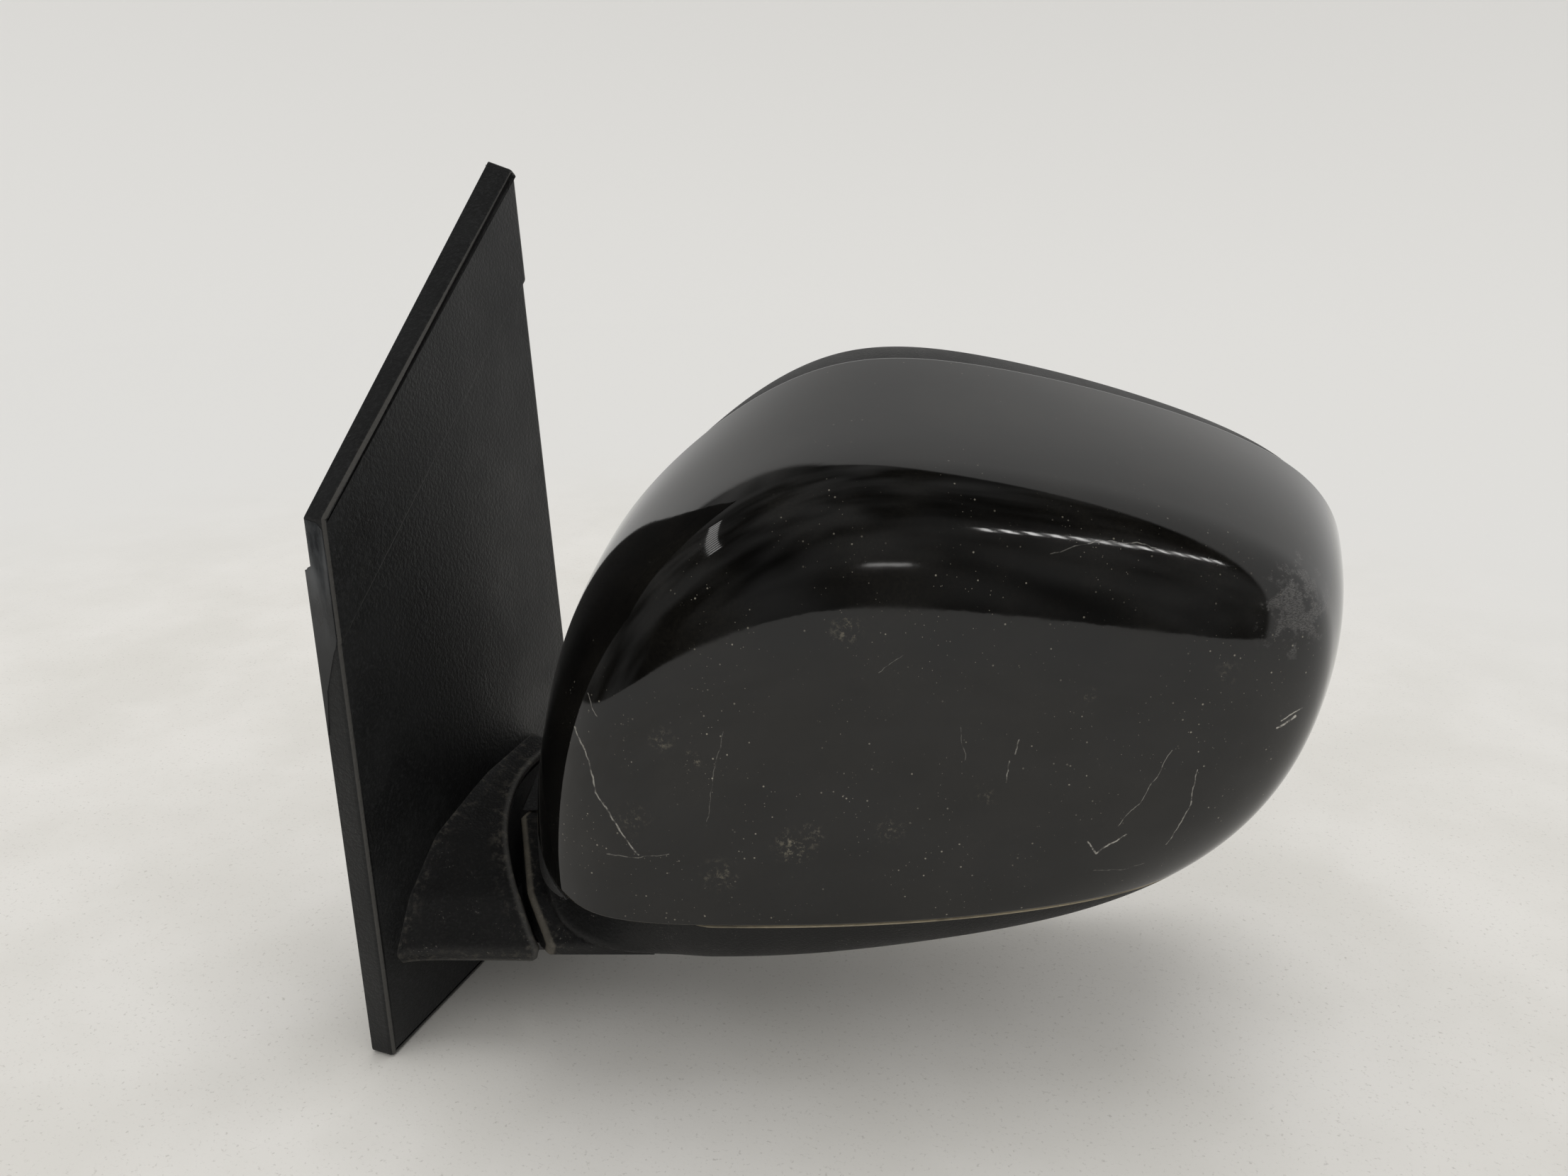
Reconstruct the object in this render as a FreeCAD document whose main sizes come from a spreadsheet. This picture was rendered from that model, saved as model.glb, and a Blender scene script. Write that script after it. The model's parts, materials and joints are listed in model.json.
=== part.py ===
import FreeCAD, Part

import os

import Sketcher
from FreeCAD import Placement, Rotation, Vector

# A left-hand folding door mirror.  Row frame, millimetres: +X points outboard from the
# door, +Y to the rear of the vehicle, +Z up.  The origin is the centre of the wiring
# outlet on the mounting face.  The folding head is drawn in its own frame (u outboard
# along the head, w rearward, z up) about the fold axis, and is seated by a Placement.

SIZES = [
    # sail plate
    ("plate_front", -62, "front edge of the sail plate, along Y"),
    ("plate_rear", 63, "rear edge at the bottom, along Y"),
    ("plate_peak_y", 42, "upper corner, along Y"),
    ("plate_peak", 167, "upper corner, along Z"),
    ("plate_shoulder", 81, "upper end of the front edge, along Z"),
    ("plate_bottom", -95, "bottom edge, along Z"),
    ("plate_thick", 8, "depth of the skin's rim"),
    ("skin", 2.4, "wall of the mouldings"),
    ("gap", 0.4, "clearance between mouldings"),
    ("frame_thick", 5.2, "thickness of the frame's plate"),
    ("gasket_thick", 1.2, "foam thickness"),
    ("gasket_width", 9, "width of the foam strip"),
    # fixings on the door side
    ("stud_radius", 3, "M6 stud"),
    ("stud_length", 22, "free length of a stud"),
    ("stud_neck_radius", 3.18, "plain neck under the thread"),
    ("stud_thread_end", -1, "where the thread meets the neck"),
    ("stud_flange_radius", 7.5, "head buried in the frame"),
    ("stud_front_y", -31, "front stud"),
    ("stud_front_z", 45, "front stud"),
    ("stud_top_y", 24, "upper stud"),
    ("stud_top_z", 92, "upper stud"),
    ("stud_rear_y", 38, "lower rear stud"),
    ("stud_rear_z", -62, "lower rear stud"),
    ("outlet_radius", 7, "wiring bore of the grommet"),
    ("grommet_radius", 11, "grommet body"),
    ("outlet_web", 2.6, "frame plate where the grommet sits"),
    ("screw_radius", 1.5, "cover screw"),
    # fold joint
    ("pivot_x", 77, "fold axis, outboard of the mounting face"),
    ("pivot_y", 15, "fold axis, behind the outlet"),
    ("head_yaw", 20.6, "sweep of the head at rest, degrees"),
    ("cup_radius", 60, "concave end of the arm"),
    ("knuckle_radius", 57, "rounded end of the head"),
    ("neck_half", 38, "half width of the neck"),
    ("arm_floor", -66, "underside of the arm shroud"),
    ("foot_bottom", -69, "underside of the foot"),
    ("foot_top", -66.3, "upper face of the foot"),
    ("foot_radius", 28, "rounded end of the foot and half its width"),
    ("foot_reach", 50, "foot's overlap with the sole, toward the arm"),
    ("relief_radius", 58, "flat underside of the head round the fold axis"),
    ("boss_radius", 17, "boss that seats the post"),
    ("boss_top", -58, "top of the boss"),
    ("post_radius", 9, "fold post"),
    ("post_bore", 6.2, "wiring bore of the post"),
    ("post_top", 22, "top of the post"),
    ("run_fit", 0.05, "radial running clearance"),
    ("ring_radius", 16.5, "detent rings"),
    ("ring_base", -55, "seat of the fixed detent ring"),
    ("ring_thick", 4, "fixed detent ring"),
    ("lug_rise", 3, "height of the fold stops"),
    ("lug_inner", 10.6, "inner end of a fold stop"),
    ("lug_outer", 15.4, "outer end of a fold stop"),
    ("lug_half", 1.6, "half width of a fold stop"),
    ("slot_back", 76, "stop slot behind its lug at rest, degrees"),
    ("slot_sweep", 132, "whole stop slot, degrees"),
    ("tube_radius", 20, "pivot tube of the head frame"),
    ("tube_cut_w", 8.5, "the tube is open behind this plane, where the glass swings"),
    ("tube_cut_z", -41.5, "lower end of the tube's opening"),
    ("tube_bottom", -50.6, "lower end of the pivot tube"),
    ("tube_top", 16, "upper end of the pivot tube"),
    ("bush_bottom", -43.6, "lower end of the bush"),
    ("bush_top", -20, "shoulder of the bush"),
    ("bush_wall", 3, "wall of the bush"),
    ("spring_radius", 12, "mean radius of the fold spring"),
    ("spring_wire", 1.5, "wire radius"),
    ("stack_radius", 13.5, "outside of the spring, its washer and the bush's shoulder"),
    ("spring_pitch", 6.4, "rise of one turn"),
    ("spring_seat", -16, "middle of the lowest turn"),
    ("spring_turns", 4.5, "turns"),
    ("washer_seat", 15, "underside of the spring washer"),
    # head
    ("head_rear", 38, "rear rim of the head"),
    ("band_front", 20, "parting between the cap and the rear band"),
    ("seam", 0.2, "half of a parting gap"),
    ("floor_seam", -45, "parting between the knuckle halves"),
    ("head_wall", 2.5, "wall of the head shells"),
    ("bezel_thick", 2.5, "rear face of the bezel"),
    ("bezel_lip", 22, "front edge of the wall round the glass"),
    ("bezel_wall", 2, "wall round the glass"),
    ("knuckle_bottom", -64.5, "underside of the knuckle"),
    ("knuckle_slope", 19.8, "rise of the knuckle's top to the rear, degrees"),
    ("knuckle_ridge", -36, "height of the knuckle's top above the fold axis"),
    ("knuckle_end", -14, "outboard end of the knuckle's upper half"),
    ("bezel_boss_radius", 5, "screw boss behind the bezel"),
    ("frame_screw_radius", 2, "screw between the head frame and the bezel"),
    # glass
    ("glass_face", 30.2, "rear face of the glass"),
    ("glass_thick", 2, "glass"),
    ("heater_thick", 0.5, "heater pad"),
    ("carrier_thick", 2.5, "plate behind the glass"),
    ("carrier_rim", 2, "rim round the glass"),
    ("glass_gap", 5.5, "from the glass to the wall round it"),
    # actuator and gimbal
    ("centre_u", 102, "middle of the actuator"),
    ("centre_z", 24, "middle of the actuator"),
    ("gimbal_w", 16, "pan and tilt axes"),
    ("gimbal_radius", 12.4, "outside of the gimbal ring"),
    ("gimbal_wall", 3.6, "gimbal ring"),
    ("gimbal_half", 2.5, "half thickness of the gimbal ring"),
    ("pin_radius", 2, "gimbal pins"),
    ("ear_reach", 16, "middle of an ear from the gimbal centre"),
    ("ear_half", 2.4, "half size of an ear"),
    ("throw", 26, "distance of a plunger from the axes"),
    ("ball_radius", 3.8, "plunger ball"),
    ("rod_radius", 2.3, "plunger rod"),
    ("rod_end", -16, "front end of a plunger"),
    ("cup_bore", 5, "ball cup in the carrier"),
    ("cup_outside", 6.6, "ball cup in the carrier"),
    ("cup_mouth", 12.8, "mouth of a ball cup"),
    ("case_half_u", 41, "actuator body"),
    ("case_half_z", 40, "actuator body"),
    ("case_flange", 5, "flange past the body"),
    ("case_wall", 2, "actuator walls"),
    ("case_rear", 5, "rear face of the actuator"),
    ("case_split", -5.8, "parting of the actuator"),
    ("case_front", -25, "front face of the actuator"),
    ("case_screw_radius", 1.2, "actuator screw"),
    ("frame_rear", -6, "rear face of the head frame"),
    ("frame_front", -10, "front face of the head frame"),
    ("drive_w", -12, "plane of the gears and worms"),
    ("gear_radius", 8.8, "tip of a gear"),
    ("gear_half", 2.5, "half width of a gear"),
    ("gear_teeth", 20, "teeth of a gear"),
    ("tooth_depth", 1.7, "depth of a tooth"),
    ("worm_radius", 4, "outside of a worm"),
    ("worm_half", 8, "half length of a worm"),
    ("drive_gap", 0.35, "between a worm and its gear"),
    ("motor_radius", 7, "motor can"),
    ("motor_length", 20, "motor can"),
    ("shaft_radius", 1, "motor shaft"),
    # approach lamp
    ("lamp_left", 62, "lens opening"),
    ("lamp_right", 112, "lens opening"),
    ("lamp_front", -22, "lens opening"),
    ("lamp_rear", 4, "lens opening"),
    ("lamp_top", -40.5, "top of the lamp housing"),
    ("lamp_rim", -48, "lower rim of the lamp housing"),
    ("bulb_z", -47.5, "middle of the bulb"),
]

# Rear outline of the head and a fuller-cornered front outline, as (u, z) control points
# of a closed uniform cubic B-spline, clockwise from the lower left corner.
REAR_OUTLINE = [
    (-42, -66), (-46, -34), (-42, 12), (-24, 58), (8, 92), (46, 117), (92, 113), (150, 98),
    (198, 78), (220, 50), (212, 8), (188, -26), (146, -50), (92, -63), (40, -67.5), (0, -67),
]
FRONT_OUTLINE = [
    (-42, -66), (-46, -34), (-42, 12), (-26, 58), (6, 92), (48, 115), (92, 113), (150, 98),
    (196, 76), (218, 50), (210, 12), (182, -20), (140, -44), (90, -60), (40, -67), (0, -67),
]

# Rings of the head's outer surface: (w, share of the front outline, then how far the
# left, right, top and bottom sides stand in from the outline).
HEAD_RINGS = [
    (38, 0, 2, 1, 1, 0),
    (32, 0.1, 1, 1, 1, 0),
    (20, 0.35, 0, 5, 4, 0),
    (0, 0.8, -2, 12, 10, 1),
    (-20, 1, 0, 20, 16, 2),
    (-36, 1, 3, 30, 24, 5),
    (-50, 1, 11, 44, 36, 13),
    (-55, 1, 30, 78, 60, 30),
    (-55, 1, 70, 130, 88, 60),
]

# Outline of the glass, (u, z) control points of the same kind of curve.
GLASS_OUTLINE = [
    (23, -44), (10, -22), (12, 25), (27, 66), (56, 93), (95, 98), (142, 86), (179, 69),
    (196, 45), (191, 12), (174, -16), (140, -38), (95, -47), (56, -48),
]

# Lower edge of the painted cap, (u, z), from the left.
CAP_EDGE = [
    (-70, -6), (-56, -6), (-49, -11), (-43, -22), (-36, -31.5), (-27, -37), (-12, -39.5),
    (30, -40), (75, -38), (120, -33), (160, -27), (230, -18),
]

# Section of the arm at the plate, (y, z), and at the joint, (w, z): underside, front
# edge, rounded back and rear wall.
ARM_AT_PLATE = [(-51, -66), (-54, -61), (-45, -46), (-29, -33), (0, -27), (28, -25), (38, -32), (40, -66)]
ARM_AT_JOINT = [(-37, -66), (-39, -60), (-28, -49), (0, -36), (18, -29), (28, -27), (36, -31), (38, -66)]

# Front and rear edges of the sole under the arm, y at the plate and w at the joint.
SOLE_AT_PLATE = (-34, 38)
SOLE_AT_JOINT = (37, -28)

HEAD_FRAME_OUTLINE = [
    (-37, -38), (-38, 20), (-20, 56), (14, 78), (56, 87), (110, 84), (148, 72), (162, 52),
    (162, 20), (146, -8), (116, -26), (70, -34), (0, -42),
]

doc = FreeCAD.newDocument("door_mirror")
sheet = doc.addObject("Spreadsheet::Sheet", "Dims")
for row, (alias, value, meaning) in enumerate(SIZES, start=1):
    sheet.set("A%d" % row, meaning)
    sheet.set("B%d" % row, str(value))
    sheet.setAlias("B%d" % row, alias)
doc.recompute()
reader = doc.addObject("App::FeaturePython", "Reader")
pieces = []


# ---------------------------------------------------------------- helpers

def value(text):
    """Number of an expression over the sheet, such as 'Dims.skin * 2'."""
    return float(reader.evalExpression(str(text)))


def bind(obj, prop, text):
    obj.setExpression(prop, str(text))


def move(obj, spot):
    """Bind an object's position to three expressions."""
    for letter, text in zip("xyz", spot):
        bind(obj, "Placement.Base." + letter, text)


def seat_on_head(obj):
    """Put a piece that is drawn about the fold axis where the head stands at rest."""
    obj.Placement = Placement(Vector(0, 0, 0), Rotation(Vector(0, 0, 1), 1))
    move(obj, ("Dims.pivot_x", "Dims.pivot_y", "0"))
    bind(obj, "Placement.Rotation.Angle", "Dims.head_yaw")


def keep(obj, name, on_head=False):
    """List an object as one piece of the mirror."""
    obj.Label = name
    if on_head:
        seat_on_head(obj)
    pieces.append(obj)
    return obj


def box(name, x_span, y_span, z_span):
    obj = doc.addObject("Part::Box", name)
    for prop, span in zip(("Length", "Width", "Height"), (x_span, y_span, z_span)):
        bind(obj, prop, "(%s) - (%s)" % (span[1], span[0]))
    move(obj, (x_span[0], y_span[0], z_span[0]))
    return obj


TURNS = {
    "x": Rotation(Vector(0, 1, 0), 90),
    "y": Rotation(Vector(1, 0, 0), -90),
    "z": Rotation(),
}


def cylinder(name, radius, span, across, along="z"):
    """Cylinder along one axis; across holds the other two coordinates in order."""
    obj = doc.addObject("Part::Cylinder", name)
    obj.Placement = Placement(Vector(), TURNS[along])
    bind(obj, "Radius", radius)
    bind(obj, "Height", "(%s) - (%s)" % (span[1], span[0]))
    spot = list(across)
    spot.insert("xyz".index(along), span[0])
    move(obj, spot)
    return obj


def ball(name, radius, spot):
    obj = doc.addObject("Part::Sphere", name)
    bind(obj, "Radius", radius)
    move(obj, spot)
    return obj


def fuse(name, *parts):
    obj = doc.addObject("Part::MultiFuse", name)
    obj.Shapes = list(parts)
    return obj


def cut(name, base, *tools):
    obj = doc.addObject("Part::Cut", name)
    obj.Base = base
    obj.Tool = tools[0] if len(tools) == 1 else fuse(name + "_tools", *tools)
    return obj


def common(name, first, second):
    obj = doc.addObject("Part::Common", name)
    obj.Base = first
    obj.Tool = second
    return obj


def group(name, *parts):
    obj = doc.addObject("Part::Compound", name)
    obj.Links = list(parts)
    return obj


def form(name, shape):
    obj = doc.addObject("Part::Feature", name)
    obj.Shape = shape
    return obj


def prism(name, outline, along, span):
    """Solid of a flat outline face, swept along one axis over a bound span."""
    direction = Vector(*[1.0 if axis == along else 0.0 for axis in "xyz"])
    obj = doc.addObject("Part::Extrusion", name)
    obj.Base = outline
    obj.DirMode = "Custom"
    obj.Dir = direction
    obj.Solid = True
    bind(obj, "LengthFwd", "(%s) - (%s)" % (span[1], span[0]))
    bind(obj, "Placement.Base." + along, span[0])
    return obj


def origin_plane(body, role):
    return next(f for f in body.Origin.OriginFeatures if f.Role == role)


def sketch_on(body, name, role):
    sketch = body.newObject("Sketcher::SketchObject", name)
    sketch.AttachmentSupport = [(origin_plane(body, role), "")]
    sketch.MapMode = "FlatFace"
    return sketch


def add_outline(sketch, corners):
    """Closed polygon whose corners are pairs of expressions."""
    first = sketch.GeometryCount
    spots = [Vector(value(a), value(b), 0) for a, b in corners]
    count = len(spots)
    for i in range(count):
        sketch.addGeometry(Part.LineSegment(spots[i], spots[(i + 1) % count]), False)
    for i in range(count):
        sketch.addConstraint(Sketcher.Constraint("Coincident", first + i, 2, first + (i + 1) % count, 1))
    for i, (a, b) in enumerate(corners):
        for kind, text, size in (("DistanceX", a, spots[i].x), ("DistanceY", b, spots[i].y)):
            index = sketch.addConstraint(Sketcher.Constraint(kind, -1, 1, first + i, 1, size))
            sketch.setExpression("Constraints[%d]" % index, text)


def add_circle(sketch, a, b, radius):
    circle = Part.Circle(Vector(value(a), value(b), 0), Vector(0, 0, 1), value(radius))
    line = sketch.addGeometry(circle, False)
    for kind, text in (("DistanceX", a), ("DistanceY", b)):
        index = sketch.addConstraint(Sketcher.Constraint(kind, -1, 1, line, 3, value(text)))
        sketch.setExpression("Constraints[%d]" % index, text)
    index = sketch.addConstraint(Sketcher.Constraint("Radius", line, value(radius)))
    sketch.setExpression("Constraints[%d]" % index, radius)


def turned_body(name, corners):
    """PartDesign body turned about the fold axis from (radius, height) corners."""
    body = doc.addObject("PartDesign::Body", name)
    sketch = sketch_on(body, name + "_section", "XZ_Plane")
    add_outline(sketch, corners)
    turn = body.newObject("PartDesign::Revolution", name + "_turned")
    turn.Profile = sketch
    turn.ReferenceAxis = (sketch, ["V_Axis"])
    turn.Angle = 360
    return body


# ---------------------------------------------------------------- curves and forms

def inset(points, left, right, top, bottom):
    """Control points whose bounding box is drawn in by four distances."""
    us = [p[0] for p in points]
    zs = [p[1] for p in points]
    u_low, z_low = min(us), min(zs)
    width, height = max(us) - u_low, max(zs) - z_low
    u_share = (width - left - right) / width
    z_share = (height - top - bottom) / height
    return [
        (u_low + left + (u - u_low) * u_share, z_low + bottom + (z - z_low) * z_share)
        for u, z in points
    ]


def closed_curve(points, w):
    """Closed uniform cubic B-spline in the plane w."""
    poles = [Vector(u, w, z) for u, z in points]
    count = len(poles)
    curve = Part.BSplineCurve()
    curve.buildFromPolesMultsKnots(poles, [1] * (count + 1), list(range(count + 1)), True, 3)
    return curve


def outline_face(name, points, w=0):
    return form(name, Part.Face(Part.Wire(closed_curve(points, w).toShape())))


def head_ring(ring, wall):
    w, share, left, right, top, bottom = ring
    points = [
        (a * (1 - share) + c * share, b * (1 - share) + d * share)
        for (a, b), (c, d) in zip(REAR_OUTLINE, FRONT_OUTLINE)
    ]
    return inset(points, left + wall, right + wall, top + wall, bottom + wall)


def head_form(name, wall, rear_w):
    """Closed solid of the head, drawn in by a wall; the rear end lies in plane rear_w."""
    poles = []
    front_w = HEAD_RINGS[-1][0]
    rear = HEAD_RINGS[0][0]
    for ring in HEAD_RINGS:
        w = front_w + wall + (ring[0] - front_w) * (rear_w - front_w - wall) / (rear - front_w)
        poles.append([Vector(u, w, z) for u, z in head_ring(ring, wall)])
    around = len(REAR_OUTLINE)
    spans = len(poles) - 3
    surface = Part.BSplineSurface()
    surface.buildFromPolesMultsKnots(
        poles,
        [4] + [1] * (spans - 1) + [4],
        [1] * (around + 1),
        list(range(spans + 1)),
        list(range(around + 1)),
        False,
        True,
        3,
        3,
    )
    side = surface.toShape()
    ends = [Part.Face(Part.Wire(Part.Shape(edge.Edges))) for edge in end_edges(side)]
    shell = Part.makeShell([side] + ends)
    shell.sewShape()
    solid = Part.makeSolid(shell)
    if solid.Volume < 0:
        solid.reverse()
    return form(name, solid)


def end_edges(face):
    """The closed edges of a tube-like face: the ones that lie in one w plane."""
    found = []
    for edge in face.Edges:
        step = (edge.LastParameter - edge.FirstParameter) / 5
        depths = [edge.valueAt(edge.FirstParameter + step * k).y for k in range(5)]
        if max(depths) - min(depths) < 1e-6:
            found.append(edge)
    return found


def head_to_row(u, w, z):
    spot = Rotation(Vector(0, 0, 1), value("Dims.head_yaw")).multVec(Vector(u, w, z))
    return spot + Vector(value("Dims.pivot_x"), value("Dims.pivot_y"), 0)


def arm_form(name, wall, start_x, floor_drop=0):
    """Straight loft of the arm from the plate to past the joint, drawn in by a wall."""
    def drawn_in(points):
        low = min(p[0] for p in points)
        high = max(p[0] for p in points)
        middle = (low + high) / 2
        share = (high - low - 2 * wall) / (high - low)
        floor = points[0][1]
        return [
            (middle + (a - middle) * share, floor - floor_drop if b == floor else b - wall)
            for a, b in points
        ]

    reach = 30
    near = [Vector(start_x, y, z) for y, z in drawn_in(ARM_AT_PLATE)]
    far = [head_to_row(-reach, w, z) for w, z in drawn_in(ARM_AT_JOINT)]
    wires = [Part.makePolygon(points + points[:1]) for points in (near, far)]
    return form(name, Part.makeLoft(wires, True, True))


# ---------------------------------------------------------------- base

PLATE_CORNERS = [
    ("plate_front", "plate_bottom"),
    ("plate_front", "plate_shoulder"),
    ("plate_peak_y", "plate_peak"),
    ("plate_rear", "plate_bottom"),
]


def plate_face(name, margin):
    """Flat outline of the sail plate, drawn in by a margin."""
    corners = [Vector(0, value("Dims." + y), value("Dims." + z)) for y, z in PLATE_CORNERS]
    wire = Part.makePolygon(corners + corners[:1])
    if margin:
        wire = wire.makeOffset2D(-margin, 2)
    return form(name, Part.Face(wire))


def joint_cylinder(name, radius):
    """Tall cylinder about the fold axis."""
    return cylinder(name, radius, ("Dims.foot_bottom - 5", "20"), ("Dims.pivot_x", "Dims.pivot_y"))


STUDS = ["front", "top", "rear"]
COVER_SCREWS = [("-42", "-80"), ("-48", "68"), ("48", "-20"), ("34", "128")]


def make_sail_cover():
    wall = value("Dims.skin")
    plate = prism("cover_plate", plate_face("cover_outline", 0), "x", ("0", "Dims.plate_thick"))
    softened = doc.addObject("Part::Fillet", "cover_plate_rounded")
    softened.Base = plate
    doc.recompute()
    edge_round = 1.2
    outer = [
        (number, edge_round, edge_round)
        for number, edge in enumerate(plate.Shape.Edges, start=1)
        if edge.BoundBox.XMin > value("Dims.plate_thick") - 0.01
    ]
    softened.Edges = outer
    hollow = prism(
        "cover_hollow",
        plate_face("cover_hollow_outline", wall),
        "x",
        ("-1", "Dims.plate_thick - Dims.skin"),
    )
    arm = arm_form("shroud_outside", 0, value("Dims.plate_thick - Dims.skin / 2"))
    arm_hollow = arm_form("shroud_inside", wall, value("Dims.plate_thick - Dims.skin") - 1)
    mouth = box(
        "shroud_floor_open",
        ("0", "Dims.pivot_x"),
        ("-100", "100"),
        ("Dims.arm_floor - 5", "Dims.arm_floor + 0.1"),
    )
    shroud = cut("shroud", arm, joint_cylinder("shroud_joint", "Dims.cup_radius"), mouth)
    screws = [
        cylinder("cover_pilot_%d" % k, "Dims.screw_radius + 0.05", ("4", "7.2"), spot, "x")
        for k, spot in enumerate(COVER_SCREWS)
    ]
    sole_slot = box(
        "sole_slot",
        ("0", "20"),
        ("-55.4", "39"),
        ("Dims.foot_bottom - 0.3", "Dims.arm_floor + 0.1"),
    )
    whole = fuse("cover_whole", softened, shroud)
    keep(cut("sail_cover", whole, hollow, arm_hollow, sole_slot, *screws), "sail_cover")


def make_base_frame():
    inner = value("Dims.skin + Dims.gap")
    plate = prism("frame_plate", plate_face("frame_outline", inner), "x", ("0", "Dims.frame_thick"))
    core_wall = 3.0
    core = arm_form("core_outside", inner + 1, value("Dims.frame_thick") - 1, 0.5)
    channel = arm_form("core_inside", inner + core_wall, -1)
    channel_floor = box(
        "core_floor",
        ("-5", "70"),
        ("-100", "100"),
        ("Dims.foot_bottom - 5", "Dims.arm_floor + 3"),
    )
    end_wall = joint_cylinder("core_end_wall", "Dims.cup_radius + 4")
    open_channel = cut("core_channel", channel, channel_floor, end_wall)
    cup = joint_cylinder("core_joint", "Dims.cup_radius + 0.6")
    arm_core = cut("arm_core", core, cup)
    sole = [Vector(value("Dims.frame_thick") - 1, y, 0) for y in SOLE_AT_PLATE]
    sole += [head_to_row(-20, w, 0) for w in SOLE_AT_JOINT]
    sole_face = form("sole_outline", Part.Face(Part.makePolygon(sole + sole[:1])))
    slab = prism("sole", sole_face, "z", ("Dims.foot_bottom", "Dims.arm_floor - 0.3"))
    disc = cylinder(
        "foot_disc",
        "Dims.foot_radius",
        ("Dims.foot_bottom", "Dims.foot_top"),
        ("Dims.pivot_x", "Dims.pivot_y"),
    )
    neck = box(
        "foot_neck",
        ("-Dims.foot_reach", "0"),
        ("-Dims.foot_radius", "Dims.foot_radius"),
        ("Dims.foot_bottom", "Dims.foot_top"),
    )
    seat_on_head(neck)
    back_x = "Dims.foot_reach * cos(Dims.head_yaw) - Dims.foot_radius * sin(Dims.head_yaw)"
    back_y = "Dims.foot_reach * sin(Dims.head_yaw) + Dims.foot_radius * cos(Dims.head_yaw)"
    bind(neck, "Placement.Base.x", "Dims.pivot_x - (%s)" % back_x)
    bind(neck, "Placement.Base.y", "Dims.pivot_y - (%s)" % back_y)
    bind(neck, "Placement.Base.z", "Dims.foot_bottom")
    foot = fuse("foot", disc, neck)
    pivot = ("Dims.pivot_x", "Dims.pivot_y")
    boss = cylinder("foot_boss", "Dims.boss_radius", ("Dims.foot_bottom", "Dims.boss_top"), pivot)
    seat = cylinder("post_seat", "Dims.post_radius + 0.1", ("Dims.foot_bottom + 1", "0"), pivot)
    studs = [
        cylinder(
            "stud_seat_%s" % which,
            "Dims.stud_flange_radius + 0.1",
            ("1", "6"),
            ("Dims.stud_%s_y" % which, "Dims.stud_%s_z" % which),
            "x",
        )
        for which in STUDS
    ]
    stud_holes = [
        cylinder(
            "stud_hole_%s" % which,
            "Dims.stud_neck_radius + 0.1",
            ("-1", "2"),
            ("Dims.stud_%s_y" % which, "Dims.stud_%s_z" % which),
            "x",
        )
        for which in STUDS
    ]
    screw_holes = [
        cylinder("frame_clear_%d" % k, "Dims.screw_radius + 0.3", ("-1", "6"), spot, "x")
        for k, spot in enumerate(COVER_SCREWS)
    ]
    screw_sinks = [
        cylinder("frame_sink_%d" % k, "Dims.screw_radius + 2", ("-1", "2.4"), spot, "x")
        for k, spot in enumerate(COVER_SCREWS)
    ]
    outlet = cylinder("outlet_hole", "Dims.grommet_radius - 2", ("-1", "8"), ("0", "0"), "x")
    recess_run = ("Dims.outlet_web", "8")
    outlet_recess = cylinder("outlet_recess", "Dims.grommet_radius + 1", recess_run, ("0", "0"), "x")
    whole = fuse("frame_whole", plate, arm_core, slab, foot, boss)
    tools = [open_channel, seat, outlet, outlet_recess] + studs + stud_holes + screw_holes + screw_sinks
    keep(cut("base_frame", whole, *tools), "base_frame")


def make_door_gasket():
    """Foam strip round the edge of the mounting face."""
    edge = value("Dims.skin + Dims.gap") + 1
    outside = prism("gasket_outside", plate_face("gasket_outline", edge), "x", ("-Dims.gasket_thick", "0"))
    inside = prism(
        "gasket_inside",
        plate_face("gasket_opening", edge + value("Dims.gasket_width")),
        "x",
        ("-Dims.gasket_thick - 1", "1"),
    )
    keep(cut("door_gasket", outside, inside), "door_gasket")


def make_mounting_studs():
    studs = []
    for which in STUDS:
        spot = ("Dims.stud_%s_y" % which, "Dims.stud_%s_z" % which)
        thread_run = ("-Dims.stud_length", "Dims.stud_thread_end")
        shank = cylinder("stud_shank_" + which, "Dims.stud_radius", thread_run, spot, "x")
        neck_run = ("Dims.stud_thread_end", "3")
        neck = cylinder("stud_neck_" + which, "Dims.stud_neck_radius", neck_run, spot, "x")
        flange = cylinder("stud_flange_" + which, "Dims.stud_flange_radius", ("1.1", "4.6"), spot, "x")
        studs.append(fuse("stud_" + which, shank, neck, flange))
    keep(group("mounting_studs", *studs), "mounting_studs")


def make_cable_grommet():
    centre = ("0", "0")
    neck_run = ("-3", "Dims.outlet_web + 0.3")
    neck = cylinder("grommet_neck", "Dims.grommet_radius - 2.2", neck_run, centre, "x")
    front = cylinder("grommet_flange", "Dims.grommet_radius", ("-3", "-0.1"), centre, "x")
    rear = doc.addObject("Part::Cone", "grommet_barb")
    rear.Placement = Placement(Vector(), TURNS["x"])
    bind(rear, "Radius1", "Dims.grommet_radius")
    bind(rear, "Radius2", "Dims.grommet_radius - 2")
    bind(rear, "Height", "2.2")
    move(rear, ("Dims.outlet_web + 0.1", "0", "0"))
    bore = cylinder("grommet_bore", "Dims.outlet_radius", ("-5", "12"), centre, "x")
    keep(cut("cable_grommet", fuse("grommet_whole", neck, front, rear), bore), "cable_grommet")


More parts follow.
